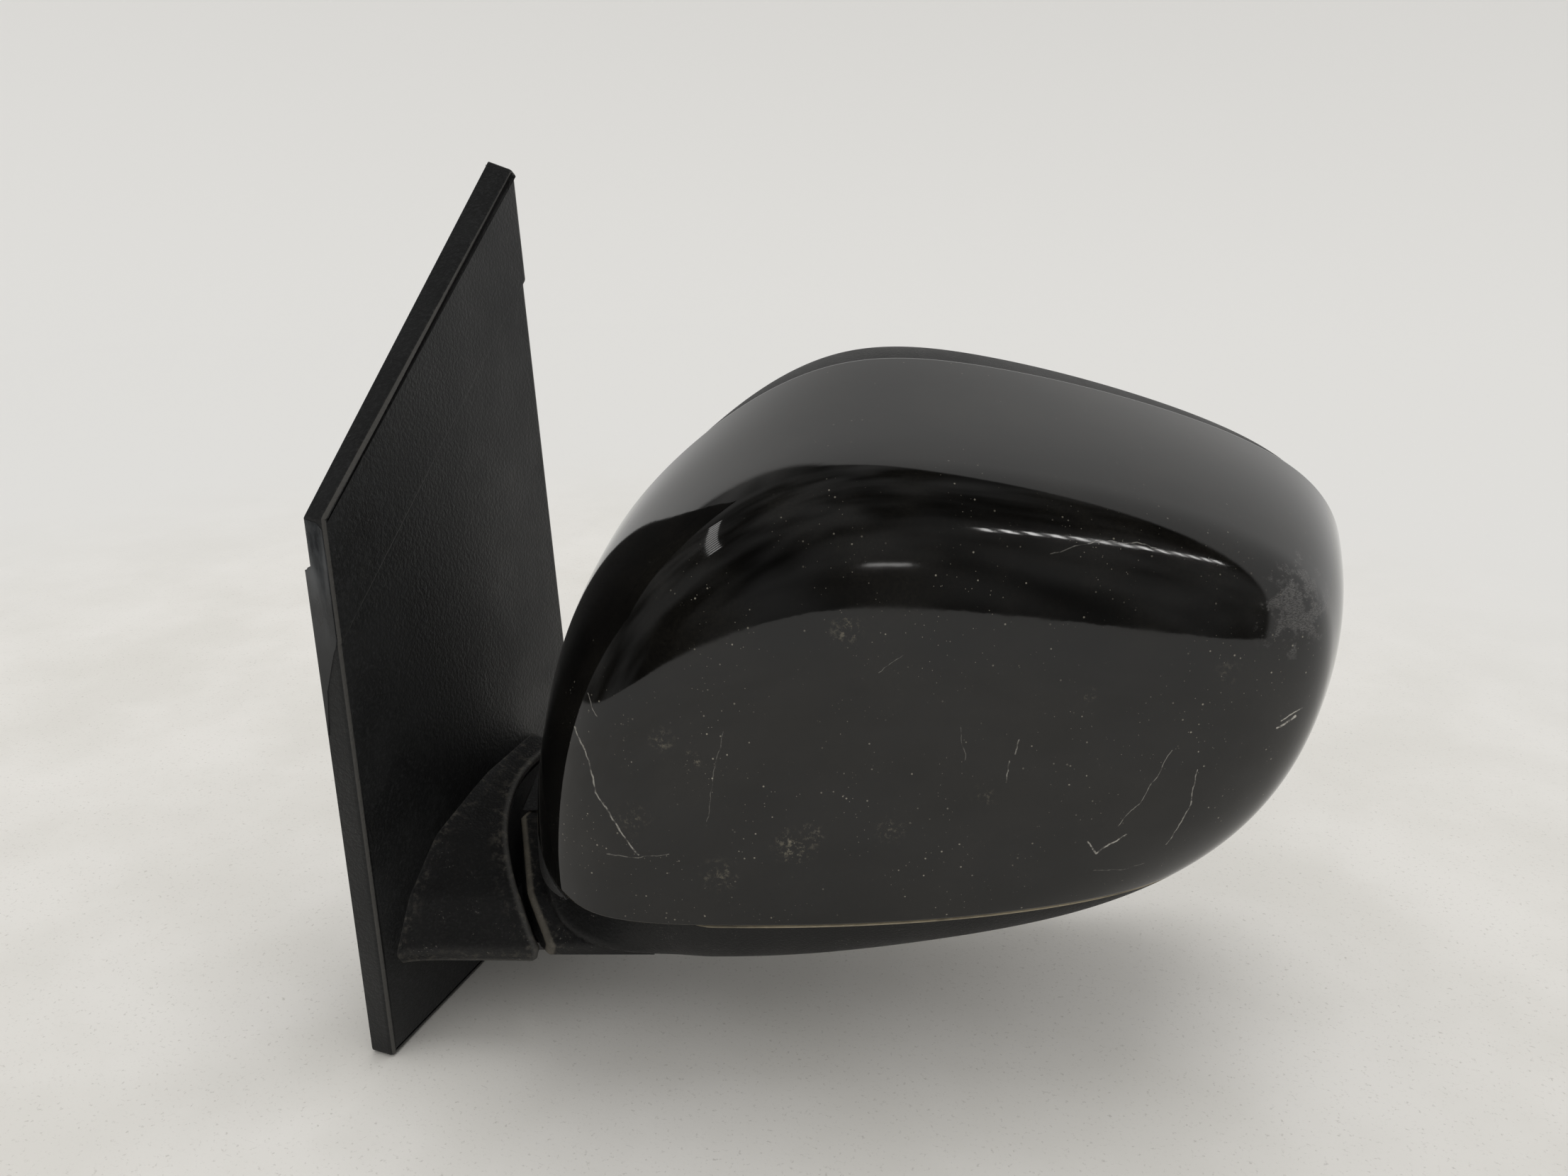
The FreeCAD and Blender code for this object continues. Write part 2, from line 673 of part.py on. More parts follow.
def make_cover_screws():
    screws = []
    for k, spot in enumerate(COVER_SCREWS):
        head = cylinder("cover_head_%d" % k, "Dims.screw_radius + 1.6", ("0.3", "2.3"), spot, "x")
        shank = cylinder("cover_shank_%d" % k, "Dims.screw_radius", ("1", "7"), spot, "x")
        cross = box(
            "cover_slot_%d" % k,
            ("0", "1.2"),
            (spot[0] + " - 0.4", spot[0] + " + 0.4"),
            (spot[1] + " - 2", spot[1] + " + 2"),
        )
        screws.append(cut("cover_screw_%d" % k, fuse("cover_screw_body_%d" % k, head, shank), cross))
    keep(group("cover_screws", *screws), "cover_screws")


def make_pivot_post():
    """Hollow post with a foot flange and a groove for the retaining ring."""
    radius = "Dims.post_radius"
    groove = "Dims.post_radius - 1.2"
    flange_top = "Dims.boss_top + 2.7"
    body = turned_body("pivot_post", [
        ("Dims.post_bore", "Dims.foot_bottom + 1.2"),
        (radius, "Dims.foot_bottom + 1.2"),
        (radius, "Dims.boss_top + 0.1"),
        ("Dims.ring_radius - 1.5", "Dims.boss_top + 0.1"),
        ("Dims.ring_radius - 1.5", flange_top),
        (radius, flange_top),
        (radius, "Dims.washer_seat + 2.2"),
        (groove, "Dims.washer_seat + 2.2"),
        (groove, "Dims.washer_seat + 3.8"),
        (radius, "Dims.washer_seat + 3.8"),
        (radius, "Dims.post_top"),
        ("Dims.post_bore", "Dims.post_top"),
    ])
    keep(body, "pivot_post", True)


def make_detent_ring_fixed():
    """Ring on the post's flange, with two lugs that stop the fold."""
    top = "Dims.ring_base + Dims.ring_thick"
    ring = cylinder("fixed_ring_blank", "Dims.ring_radius", ("Dims.ring_base", top), ("0", "0"))
    bore = cylinder("fixed_ring_bore", "Dims.post_radius + 0.1", ("Dims.ring_base - 1", "0"), ("0", "0"))
    lug_width = ("-Dims.lug_half", "Dims.lug_half")
    lug_height = (top + " - 0.5", top + " + Dims.lug_rise")
    lugs = [
        box("stop_lug_rear", lug_width, ("Dims.lug_inner", "Dims.lug_outer"), lug_height),
        box("stop_lug_front", lug_width, ("-Dims.lug_outer", "-Dims.lug_inner"), lug_height),
    ]
    keep(cut("detent_ring_fixed", fuse("fixed_ring_whole", ring, *lugs), bore), "detent_ring_fixed", True)


def make_detent_ring_moving():
    """Ring in the head frame, with arc slots for the lugs of the fixed ring."""
    low = "Dims.ring_base + Dims.ring_thick + 0.35"
    high = "Dims.bush_bottom - 0.1"
    ring = cylinder("moving_ring_blank", "Dims.ring_radius", (low, high), ("0", "0"))
    bore = cylinder("moving_ring_bore", "Dims.post_radius + 0.3", (low + " - 1", "0"), ("0", "0"))
    slots = []
    for side, lug_angle in (("rear", 90), ("front", 270)):
        span = (low + " - 1", low + " + Dims.lug_rise + 0.4")
        outer = cylinder("slot_outer_" + side, "Dims.lug_outer + 0.5", span, ("0", "0"))
        outer.Placement = Placement(outer.Placement.Base, Rotation(Vector(0, 0, 1), 1))
        bind(outer, "Placement.Rotation.Angle", "%d - Dims.slot_back" % lug_angle)
        bind(outer, "Angle", "Dims.slot_sweep")
        slots.append(outer)
    inner_run = (low + " - 2", low + " + Dims.lug_rise + 1")
    inner = cylinder("slot_inner", "Dims.lug_inner - 0.4", inner_run, ("0", "0"))
    arcs = cut("stop_slots", fuse("stop_slot_sectors", *slots), inner)
    keep(cut("detent_ring_moving", ring, bore, arcs), "detent_ring_moving", True)


def make_pivot_stack():
    inner = "Dims.post_radius + Dims.run_fit"
    outer = inner + " + Dims.bush_wall"
    bush = turned_body("pivot_bush", [
        (inner, "Dims.bush_bottom"),
        (outer, "Dims.bush_bottom"),
        (outer, "Dims.bush_top + 0.1"),
        ("Dims.stack_radius", "Dims.bush_top + 0.1"),
        ("Dims.stack_radius", "Dims.bush_top + 2"),
        (inner, "Dims.bush_top + 2"),
    ])
    keep(bush, "pivot_bush", True)
    washer = turned_body("spring_washer", [
        ("Dims.post_radius + 0.1", "Dims.washer_seat"),
        ("Dims.stack_radius", "Dims.washer_seat"),
        ("Dims.stack_radius", "Dims.washer_seat + 2"),
        ("Dims.post_radius + 0.1", "Dims.washer_seat + 2"),
    ])
    keep(washer, "spring_washer", True)
    make_retaining_ring()
    make_fold_spring()


def make_retaining_ring():
    """Split ring in the post's groove."""
    body = doc.addObject("PartDesign::Body", "retaining_ring")
    sketch = sketch_on(body, "retaining_ring_outline", "XY_Plane")
    bind(sketch, "AttachmentOffset.Base.z", "Dims.washer_seat + 2.3")
    add_circle(sketch, "0", "0", "Dims.post_radius + 3.5")
    add_circle(sketch, "0", "0", "Dims.post_radius - 1.1")
    pad = body.newObject("PartDesign::Pad", "retaining_ring_pad")
    pad.Profile = sketch
    bind(pad, "Length", "1.4")
    doc.recompute()
    opening = sketch_on(body, "retaining_ring_opening", "XY_Plane")
    bind(opening, "AttachmentOffset.Base.z", "Dims.washer_seat + 2.3")
    add_outline(opening, [("2", "-5"), ("20", "-5"), ("20", "5"), ("2", "5")])
    slot = body.newObject("PartDesign::Pocket", "retaining_ring_slot")
    slot.Profile = opening
    slot.Type = "ThroughAll"
    slot.Midplane = True
    keep(body, "retaining_ring", True)


def make_fold_spring():
    helix = doc.addObject("Part::Helix", "spring_path")
    bind(helix, "Pitch", "Dims.spring_pitch")
    bind(helix, "Height", "Dims.spring_pitch * Dims.spring_turns")
    bind(helix, "Radius", "Dims.spring_radius")
    bind(helix, "Placement.Base.z", "Dims.spring_seat")
    wire = doc.addObject("Part::Circle", "spring_section")
    wire.Placement = Placement(Vector(0, 0, 0), Rotation(Vector(1, 0, 0), 90))
    bind(wire, "Radius", "Dims.spring_wire")
    move(wire, ("Dims.spring_radius", "0", "Dims.spring_seat"))
    sweep = doc.addObject("Part::Sweep", "fold_spring")
    sweep.Sections = [wire]
    sweep.Spine = (helix, [])
    sweep.Solid = True
    sweep.Frenet = True
    keep(sweep, "fold_spring", True)


# ---------------------------------------------------------------- head shells

def edge_prism(name, above, shift, rear):
    """Everything above (or below) the cap's lower edge, moved by a small shift in z."""
    front = -70
    curve = Part.BSplineCurve()
    curve.interpolate([Vector(u, front, z + shift) for u, z in CAP_EDGE])
    level = 140 if above else -100
    left = CAP_EDGE[0]
    right = CAP_EDGE[-1]
    frame = Part.makePolygon([
        Vector(right[0], front, right[1] + shift),
        Vector(right[0], front, level),
        Vector(left[0], front, level),
        Vector(left[0], front, left[1] + shift),
    ])
    face = Part.Face(Part.Wire([curve.toShape()] + frame.Edges))
    return prism(name, form(name + "_outline", face), "y", ("0", "(%s) - (%d)" % (rear, front)))


def neck_form(name, radius, half, low, drop):
    """Half disc of the knuckle with its sloping top."""
    disc = cylinder(name + "_disc", radius, (low, "-10"), ("0", "0"))
    slab = box(name + "_slab", ("-60", "-20"), ("-(%s)" % half, half), (low + " - 1", "0"))
    slope = box(name + "_slope", ("-80", "0"), ("-90", "90"), ("0", "60"))
    slope.Placement = Placement(Vector(), Rotation(Vector(1, 0, 0), 1))
    bind(slope, "Placement.Rotation.Angle", "Dims.knuckle_slope")
    below = "Dims.knuckle_ridge - (%s) - 90 * sin(Dims.knuckle_slope)" % drop
    move(slope, ("-80", "-90 * cos(Dims.knuckle_slope)", below))
    return cut(name, common(name + "_sector", disc, slab), slope)


def make_head_shells():
    wall = value("Dims.head_wall")
    rear = value("Dims.head_rear")
    outer_shell = head_form("head_outside", 0, rear)
    inner_shell = head_form("head_inside", wall, rear + 2)
    knuckle = neck_form(
        "knuckle_outside",
        "Dims.knuckle_radius",
        "Dims.neck_half - 0.2",
        "Dims.knuckle_bottom",
        "0",
    )
    hollow = neck_form(
        "knuckle_inside",
        "Dims.knuckle_radius - Dims.head_wall",
        "Dims.neck_half - 0.2 - Dims.head_wall",
        "Dims.knuckle_bottom + Dims.head_wall",
        "Dims.head_wall",
    )
    outside = fuse("head_whole", outer_shell, knuckle)
    # the underside is relieved by a round flat above the foot, which it turns over
    low = "Dims.knuckle_bottom - 20"
    trim = cylinder("head_trim", "Dims.relief_radius", (low, "Dims.knuckle_bottom"), ("0", "0"))
    outside = cut("head_trimmed", outside, trim)
    hollow_floor = "Dims.knuckle_bottom + Dims.head_wall"
    inner_reach = "Dims.relief_radius + Dims.head_wall"
    inner_trim = cylinder("hollow_trim", inner_reach, (low, hollow_floor), ("0", "0"))
    inside = cut("hollow_trimmed", fuse("hollow_whole", inner_shell, hollow), inner_trim)
    skin = cut("head_skin", outside, inside)

    lamp = box(
        "lamp_opening",
        ("Dims.lamp_left", "Dims.lamp_right"),
        ("Dims.lamp_front", "Dims.lamp_rear"),
        ("-80", "-50"),
    )
    lens_block = box(
        "lens_block",
        ("Dims.lamp_left + 0.3", "Dims.lamp_right - 0.3"),
        ("Dims.lamp_front + 0.3", "Dims.lamp_rear - 0.3"),
        ("-80", "-50"),
    )
    post_hole = cylinder("post_opening", "Dims.boss_radius + 2", ("-80", "Dims.boss_top + 2"), ("0", "0"))

    front = "Dims.band_front - Dims.seam"
    cap_zone = edge_prism("cap_zone", True, value("Dims.seam"), front)
    keep(common("cap", skin, cap_zone), "cap", True)

    below = edge_prism("below_cap", False, -value("Dims.seam"), front)
    knuckle_floor = box(
        "knuckle_floor", ("-70", "Dims.knuckle_end"), ("-70", "60"), ("Dims.floor_seam - Dims.seam", "0")
    )
    lower_zone = cut("lower_zone", below, knuckle_floor)
    lower = common("lower_skin", skin, lower_zone)
    keep(cut("lower_housing", lower, lamp, post_hole), "lower_housing", True)
    keep(common("lamp_lens", skin, lens_block), "lamp_lens", True)
    make_rear_housing(skin, outside)


def make_rear_housing(skin, outside):
    """Band, bezel face, wall round the glass, screw bosses and the upper knuckle."""
    band_zone = box("band_zone", ("-80", "240"), ("Dims.band_front + Dims.seam", "60"), ("-80", "140"))
    band = common("band", skin, band_zone)
    upper_zone = box(
        "upper_knuckle_zone",
        ("-80", "Dims.knuckle_end - 2 * Dims.seam"),
        ("-70", "Dims.band_front + 1"),
        ("Dims.floor_seam + Dims.seam", "0"),
    )
    under_cap = edge_prism("under_cap", False, -value("Dims.seam"), "Dims.band_front + 1")
    upper_knuckle = common("upper_knuckle", skin, common("upper_knuckle_block", under_cap, upper_zone))
    face_run = ("Dims.head_rear - Dims.bezel_thick", "60")
    face_zone = box("face_zone", ("-80", "240"), face_run, ("-80", "140"))
    face = common("bezel_face", outside, face_zone)
    margin = value("Dims.glass_gap")
    wall = value("Dims.bezel_wall")
    opening = prism(
        "glass_opening",
        outline_face("opening_outline", inset(GLASS_OUTLINE, *[-margin] * 4)),
        "y",
        ("0", "60"),
    )
    collar = prism(
        "glass_collar",
        outline_face("collar_outline", inset(GLASS_OUTLINE, *[-margin - wall] * 4)),
        "y",
        ("Dims.bezel_lip", "Dims.head_rear - 0.5"),
    )
    inside_head = common("collar_in_head", collar, outside)
    bosses = [
        cylinder(
            "bezel_boss_%d" % k,
            "Dims.bezel_boss_radius",
            ("Dims.frame_rear + 0.1", "Dims.head_rear - 1"),
            spot,
            "y",
        )
        for k, spot in enumerate(FRAME_SCREWS)
    ]
    pilots = [
        cylinder(
            "bezel_pilot_%d" % k, "Dims.frame_screw_radius + 0.05", ("Dims.frame_rear - 1", "10"), spot, "y"
        )
        for k, spot in enumerate(FRAME_SCREWS)
    ]
    whole = fuse("rear_whole", band, upper_knuckle, face, inside_head, *bosses)
    keep(cut("rear_housing", whole, opening, *pilots), "rear_housing", True)


FRAME_SCREWS = [("-30", "14"), ("-30", "-27"), ("2", "66")]


def make_head_frame():
    plate = prism(
        "head_plate",
        outline_face("head_plate_outline", HEAD_FRAME_OUTLINE),
        "y",
        ("Dims.frame_front", "Dims.frame_rear"),
    )
    tube = cylinder("pivot_tube", "Dims.tube_radius", ("Dims.tube_bottom", "Dims.tube_top"), ("0", "0"))
    bush_reach = "Dims.post_radius + Dims.run_fit + Dims.bush_wall + 0.05"
    bore = cylinder("bush_bore", bush_reach, ("-70", "20"), ("0", "0"))
    ring_seat = cylinder("ring_seat", "Dims.ring_radius + 0.3", ("-70", "Dims.bush_bottom"), ("0", "0"))
    spring_well = cylinder("spring_well", "Dims.stack_radius + 0.7", ("Dims.bush_top", "40"), ("0", "0"))
    swing_room = box("swing_room", ("-30", "30"), ("Dims.tube_cut_w", "40"), ("Dims.tube_cut_z", "40"))
    window = box(
        "actuator_window",
        ("Dims.centre_u - Dims.case_half_u - 0.5", "Dims.centre_u + Dims.case_half_u + 0.5"),
        ("-20", "0"),
        ("Dims.centre_z - Dims.case_half_z - 0.5", "Dims.centre_z + Dims.case_half_z + 0.5"),
    )
    holes = [
        cylinder("frame_screw_hole_%d" % k, "Dims.frame_screw_radius + 0.3", ("-20", "0"), spot, "y")
        for k, spot in enumerate(FRAME_SCREWS)
    ]
    holes += [
        cylinder("lightening_%d" % k, "9", ("-20", "0"), spot, "y")
        for k, spot in enumerate([("40", "58"), ("40", "22"), ("40", "-18")])
    ]
    whole = fuse("head_frame_whole", plate, tube)
    pilots = [
        cylinder("actuator_pilot_%d" % k, "Dims.case_screw_radius + 0.05", ("-20", "0"), spot, "y")
        for k, spot in enumerate(ACTUATOR_SCREWS)
    ]
    tools = [bore, ring_seat, spring_well, swing_room, window] + holes + pilots
    keep(cut("head_frame", whole, *tools), "head_frame", True)


def make_screw_group(name, spots, head_radius, shank_radius, head_span, shank_span):
    """Pan-head screws along w, as separate solids of one node."""
    screws = []
    for k, spot in enumerate(spots):
        head = cylinder("%s_head_%d" % (name, k), head_radius, head_span, spot, "y")
        shank = cylinder("%s_shank_%d" % (name, k), shank_radius, shank_span, spot, "y")
        screws.append(fuse("%s_%d" % (name, k), head, shank))
    keep(group(name, *screws), name, True)


# ---------------------------------------------------------------- actuator

ACTUATOR_SCREWS = [
    ("Dims.centre_u - Dims.case_half_u - 2.6", "Dims.centre_z + 30"),
    ("Dims.centre_u - Dims.case_half_u - 2.6", "Dims.centre_z - 30"),
    ("Dims.centre_u + Dims.case_half_u + 2.6", "Dims.centre_z"),
]


def centred_box(name, half_u, half_z, w_span):
    return box(
        name,
        ("Dims.centre_u - (%s)" % half_u, "Dims.centre_u + (%s)" % half_u),
        w_span,
        ("Dims.centre_z - (%s)" % half_z, "Dims.centre_z + (%s)" % half_z),
    )


def make_actuator_case():
    wall = "Dims.case_wall"
    half_u, half_z = "Dims.case_half_u", "Dims.case_half_z"
    back = centred_box("back_block", half_u, half_z, ("Dims.case_front", "Dims.case_split - 0.1"))
    back_hollow = centred_box(
        "back_hollow", half_u + " - " + wall, half_z + " - " + wall, ("Dims.case_front + " + wall, "0")
    )
    keep(cut("actuator_back", back, back_hollow), "actuator_back", True)

    flange = centred_box(
        "front_flange", half_u + " + Dims.case_flange", half_z, ("Dims.case_split", "Dims.case_split + 2")
    )
    front = centred_box("front_block", half_u, half_z, ("Dims.case_split", "Dims.case_rear"))
    hollow = centred_box(
        "front_hollow", half_u + " - " + wall, half_z + " - " + wall, ("-20", "Dims.case_rear - " + wall)
    )
    holes = [
        cylinder("plunger_hole_pan", "Dims.rod_radius + 0.9", ("0", "10"), PAN_SPOT, "y"),
        cylinder("plunger_hole_tilt", "Dims.rod_radius + 0.9", ("0", "10"), TILT_SPOT, "y"),
    ]
    ears = []
    for side in ("+", "-"):
        middle = "Dims.centre_z %s Dims.ear_reach" % side
        ears.append(box(
            "case_ear_" + ("upper" if side == "+" else "lower"),
            ("Dims.centre_u - Dims.ear_half - 1", "Dims.centre_u + Dims.ear_half + 1"),
            ("Dims.case_rear - 1", "Dims.gimbal_w + 3.4"),
            (middle + " - Dims.ear_half", middle + " + Dims.ear_half"),
        ))
    pin_bore = cylinder(
        "pan_pin_bore",
        "Dims.pin_radius + Dims.run_fit",
        ("Dims.centre_z - 25", "Dims.centre_z + 25"),
        ("Dims.centre_u", "Dims.gimbal_w"),
    )
    screw_holes = [
        cylinder("case_screw_hole_%d" % k, "Dims.case_screw_radius + 0.4", ("-8", "0"), spot, "y")
        for k, spot in enumerate(ACTUATOR_SCREWS)
    ]
    shell = cut("front_shell", fuse("front_solid", flange, front), hollow)
    body = fuse("front_with_ears", shell, *ears)
    keep(cut("actuator_front", body, pin_bore, *holes, *screw_holes), "actuator_front", True)


PAN_SPOT = ("Dims.centre_u + Dims.throw", "Dims.centre_z")
TILT_SPOT = ("Dims.centre_u", "Dims.centre_z + Dims.throw")
WORM_OFFSET = "(Dims.gear_radius + Dims.worm_radius + Dims.drive_gap)"


def make_plunger(name, spot):
    rod = cylinder(name + "_rod", "Dims.rod_radius", ("Dims.rod_end", "Dims.gimbal_w"), spot, "y")
    head = ball(name + "_ball", "Dims.ball_radius", (spot[0], "Dims.gimbal_w", spot[1]))
    keep(fuse(name, rod, head), name, True)


def make_gear(name, spot):
    """Gear nut round a plunger: a blank, one tooth gap and its polar pattern."""
    body = doc.addObject("PartDesign::Body", name)
    place = {"x": spot[0], "y": spot[1], "z": "-(Dims.drive_w - Dims.gear_half)"}
    blank = sketch_on(body, name + "_blank", "XZ_Plane")
    for letter, text in place.items():
        bind(blank, "AttachmentOffset.Base." + letter, text)
    add_circle(blank, "0", "0", "Dims.gear_radius")
    add_circle(blank, "0", "0", "Dims.rod_radius + 0.35")
    pad = body.newObject("PartDesign::Pad", name + "_pad")
    pad.Profile = blank
    pad.Reversed = True
    bind(pad, "Length", "Dims.gear_half * 2")
    doc.recompute()
    whole = pad.Shape.Volume
    gap = sketch_on(body, name + "_gap", "XZ_Plane")
    for letter, text in place.items():
        bind(gap, "AttachmentOffset.Base." + letter, text)
    root = "Dims.gear_radius - Dims.tooth_depth"
    tip = "Dims.gear_radius + 0.5"
    add_outline(gap, [(root, "-0.35"), (tip, "-0.8"), (tip, "0.8"), (root, "0.35")])
    notch = body.newObject("PartDesign::Pocket", name + "_notch")
    notch.Profile = gap
    notch.Type = "ThroughAll"
    notch.Midplane = True
    pattern = body.newObject("PartDesign::PolarPattern", name + "_teeth")
    pattern.Originals = [notch]
    pattern.Axis = (blank, ["N_Axis"])
    pattern.Angle = 360
    bind(pattern, "Occurrences", "Dims.gear_teeth")
    body.Tip = pattern
    doc.recompute()
    if not body.Shape.Volume < whole:
        raise RuntimeError(name + ": the teeth aren't cut")
    keep(body, name, True)


def make_worm(name, along, middle, across):
    """Worm on its motor shaft: a core with thread crests, bored for the shaft."""
    core = cylinder(
        name + "_core",
        "Dims.worm_radius - 1.2",
        (middle + " - Dims.worm_half", middle + " + Dims.worm_half"),
        across,
        along,
    )
    crests = []
    pitch = 2.6
    for k in range(-2, 3):
        crests.append(cylinder(
            "%s_crest_%d" % (name, k + 2),
            "Dims.worm_radius",
            ("%s + %g" % (middle, k * pitch - 0.6), "%s + %g" % (middle, k * pitch + 0.6)),
            across,
            along,
        ))
    bore = cylinder(
        name + "_bore",
        "Dims.shaft_radius + Dims.run_fit",
        (middle + " - 20", middle + " + 20"),
        across,
        along,
    )
    keep(cut(name, fuse(name + "_solid", core, *crests), bore), name, True)


def make_motor(name, along, middle, across, side):
    """Small motor beside a worm; its shaft runs through the worm."""
    near = "%s %s (Dims.worm_half + 1.5)" % (middle, side)
    far = "%s %s (Dims.worm_half + 1.5 + Dims.motor_length)" % (middle, side)
    can_span = (near, far) if side == "+" else (far, near)
    shaft_end = "%s %s (-Dims.worm_half - 1)" % (middle, side)
    shaft_span = (shaft_end, near) if side == "+" else (near, shaft_end)
    can = cylinder(name + "_can", "Dims.motor_radius", can_span, across, along)
    shaft = cylinder(name + "_shaft", "Dims.shaft_radius", shaft_span, across, along)
    keep(fuse(name, can, shaft), name, True)


def make_drives():
    make_plunger("pan_plunger", PAN_SPOT)
    make_plunger("tilt_plunger", TILT_SPOT)
    make_gear("pan_gear", PAN_SPOT)
    make_gear("tilt_gear", TILT_SPOT)
    pan_axis = (PAN_SPOT[0] + " - " + WORM_OFFSET, "Dims.drive_w")
    tilt_axis = ("Dims.drive_w", TILT_SPOT[1] + " - " + WORM_OFFSET)
    make_worm("pan_worm", "z", "(Dims.centre_z - 1)", pan_axis)
    make_motor("pan_motor", "z", "(Dims.centre_z - 1)", pan_axis, "-")
    make_worm("tilt_worm", "x", "(Dims.centre_u - 1)", tilt_axis)
    make_motor("tilt_motor", "x", "(Dims.centre_u - 1)", tilt_axis, "-")


# ---------------------------------------------------------------- glass

def glass_prism(name, margin, span):
    outline = outline_face(name + "_outline", inset(GLASS_OUTLINE, *[-margin] * 4))
    return prism(name, outline, "y", span)


def make_gimbal_ring():
    low, high = "Dims.gimbal_w - Dims.gimbal_half", "Dims.gimbal_w + Dims.gimbal_half"
    centre = ("Dims.centre_u", "Dims.centre_z")
    ring = cylinder("gimbal_blank", "Dims.gimbal_radius", (low, high), centre, "y")
    hole = cylinder("gimbal_hole", "Dims.gimbal_radius - Dims.gimbal_wall", ("0", "30"), centre, "y")
    reach = "Dims.ear_reach + Dims.ear_half - 0.2"
    start = "Dims.gimbal_radius - 2"
    hoop = cut("gimbal_hoop", ring, hole)
    pins = []
    for side in ("+", "-"):
        ends = ["Dims.centre_z %s (%s)" % (side, start), "Dims.centre_z %s (%s)" % (side, reach)]
        span = ends if side == "+" else ends[::-1]
        pins.append(cylinder("pan_pin_" + ("up" if side == "+" else "down"), "Dims.pin_radius", span,
                             ("Dims.centre_u", "Dims.gimbal_w")))
        ends = ["Dims.centre_u %s (%s)" % (side, start), "Dims.centre_u %s (%s)" % (side, reach)]
        span = ends if side == "+" else ends[::-1]
        pins.append(cylinder("tilt_pin_" + ("out" if side == "+" else "in"), "Dims.pin_radius", span,
                             ("Dims.gimbal_w", "Dims.centre_z"), "x"))
    keep(fuse("gimbal_ring", hoop, *pins), "gimbal_ring", True)


def make_glass():
    face = "Dims.glass_face"
    back = face + " - Dims.glass_thick"
    pad_front = back + " - 0.05"
    pad_back = pad_front + " - Dims.heater_thick"
    plate_front = pad_back + " - 0.05"
    plate_back = plate_front + " - Dims.carrier_thick"
    keep(group("mirror_glass", glass_prism("glass_pane", 0, (back, face))), "mirror_glass", True)
    keep(group("heater_pad", glass_prism("heater_film", -2, (pad_back, pad_front))), "heater_pad", True)

    plate = glass_prism("carrier_plate", value("Dims.carrier_rim"), (plate_back, face + " + 0.3"))
    bed = glass_prism("carrier_bed", 0.2, (plate_front, "40"))
    tray = cut("carrier_tray", plate, bed)
    added = []
    for side in ("+", "-"):
        middle = "Dims.centre_u %s Dims.ear_reach" % side
        added.append(box(
            "carrier_ear_" + ("out" if side == "+" else "in"),
            (middle + " - Dims.ear_half", middle + " + Dims.ear_half"),
            ("Dims.gimbal_w - 3.4", plate_back + " + 0.5"),
            ("Dims.centre_z - Dims.ear_half - 1", "Dims.centre_z + Dims.ear_half + 1"),
        ))
    for name, spot in (("pan", PAN_SPOT), ("tilt", TILT_SPOT)):
        added.append(cylinder(
            "ball_cup_" + name, "Dims.cup_outside", ("Dims.cup_mouth", plate_back + " + 0.5"), spot, "y"
        ))
    bores = [
        cylinder("ball_bore_" + name, "Dims.cup_bore", ("0", "Dims.gimbal_w + 5.2"), spot, "y")
        for name, spot in (("pan", PAN_SPOT), ("tilt", TILT_SPOT))
    ]
    bores.append(cylinder(
        "tilt_pin_bore",
        "Dims.pin_radius + Dims.run_fit",
        ("Dims.centre_u - 25", "Dims.centre_u + 20.5"),
        ("Dims.gimbal_w", "Dims.centre_z"),
        "x",
    ))
    terminal_holes = [
        box("terminal_hole_%d" % k, (u + " - 4", u + " + 4"), ("10", "40"), ("-8", "-5"))
        for k, u in enumerate(TERMINALS)
    ]
    whole = fuse("carrier_whole", tray, *added)
    keep(cut("glass_carrier", whole, *bores, *terminal_holes), "glass_carrier", True)
    blades = [
        box(
            "terminal_%d" % k,
            (u + " - 3.15", u + " + 3.15"),
            ("Dims.gimbal_w", "Dims.glass_face - 2.9"),
            ("-6.9", "-6.1"),
        )
        for k, u in enumerate(TERMINALS)
    ]
    keep(group("heater_terminals", *blades), "heater_terminals", True)


TERMINALS = ["60", "74"]


# ---------------------------------------------------------------- approach lamp

def make_lamp():
    shell = box(
        "lamp_block",
        ("Dims.lamp_left + 2", "Dims.lamp_right - 9"),
        ("Dims.lamp_front + 2", "Dims.lamp_rear - 2"),
        ("Dims.lamp_rim", "Dims.lamp_top"),
    )
    hollow = box(
        "lamp_hollow",
        ("Dims.lamp_left + 4", "Dims.lamp_right - 11"),
        ("Dims.lamp_front + 4", "Dims.lamp_rear - 4"),
        ("Dims.lamp_rim - 10", "Dims.lamp_top - 2"),
    )
    keep(cut("lamp_housing", shell, hollow), "lamp_housing", True)
    middle_u = "(Dims.lamp_left + Dims.lamp_right) / 2"
    middle_w = "(Dims.lamp_front + Dims.lamp_rear) / 2"
    bulb = ball("bulb_globe", "3", (middle_u, middle_w, "Dims.bulb_z"))
    stem = cylinder("bulb_stem", "2.2", ("Dims.bulb_z", "Dims.lamp_top - 2.1"), (middle_u, middle_w))
    keep(fuse("lamp_bulb", bulb, stem), "lamp_bulb", True)


# ---------------------------------------------------------------- build

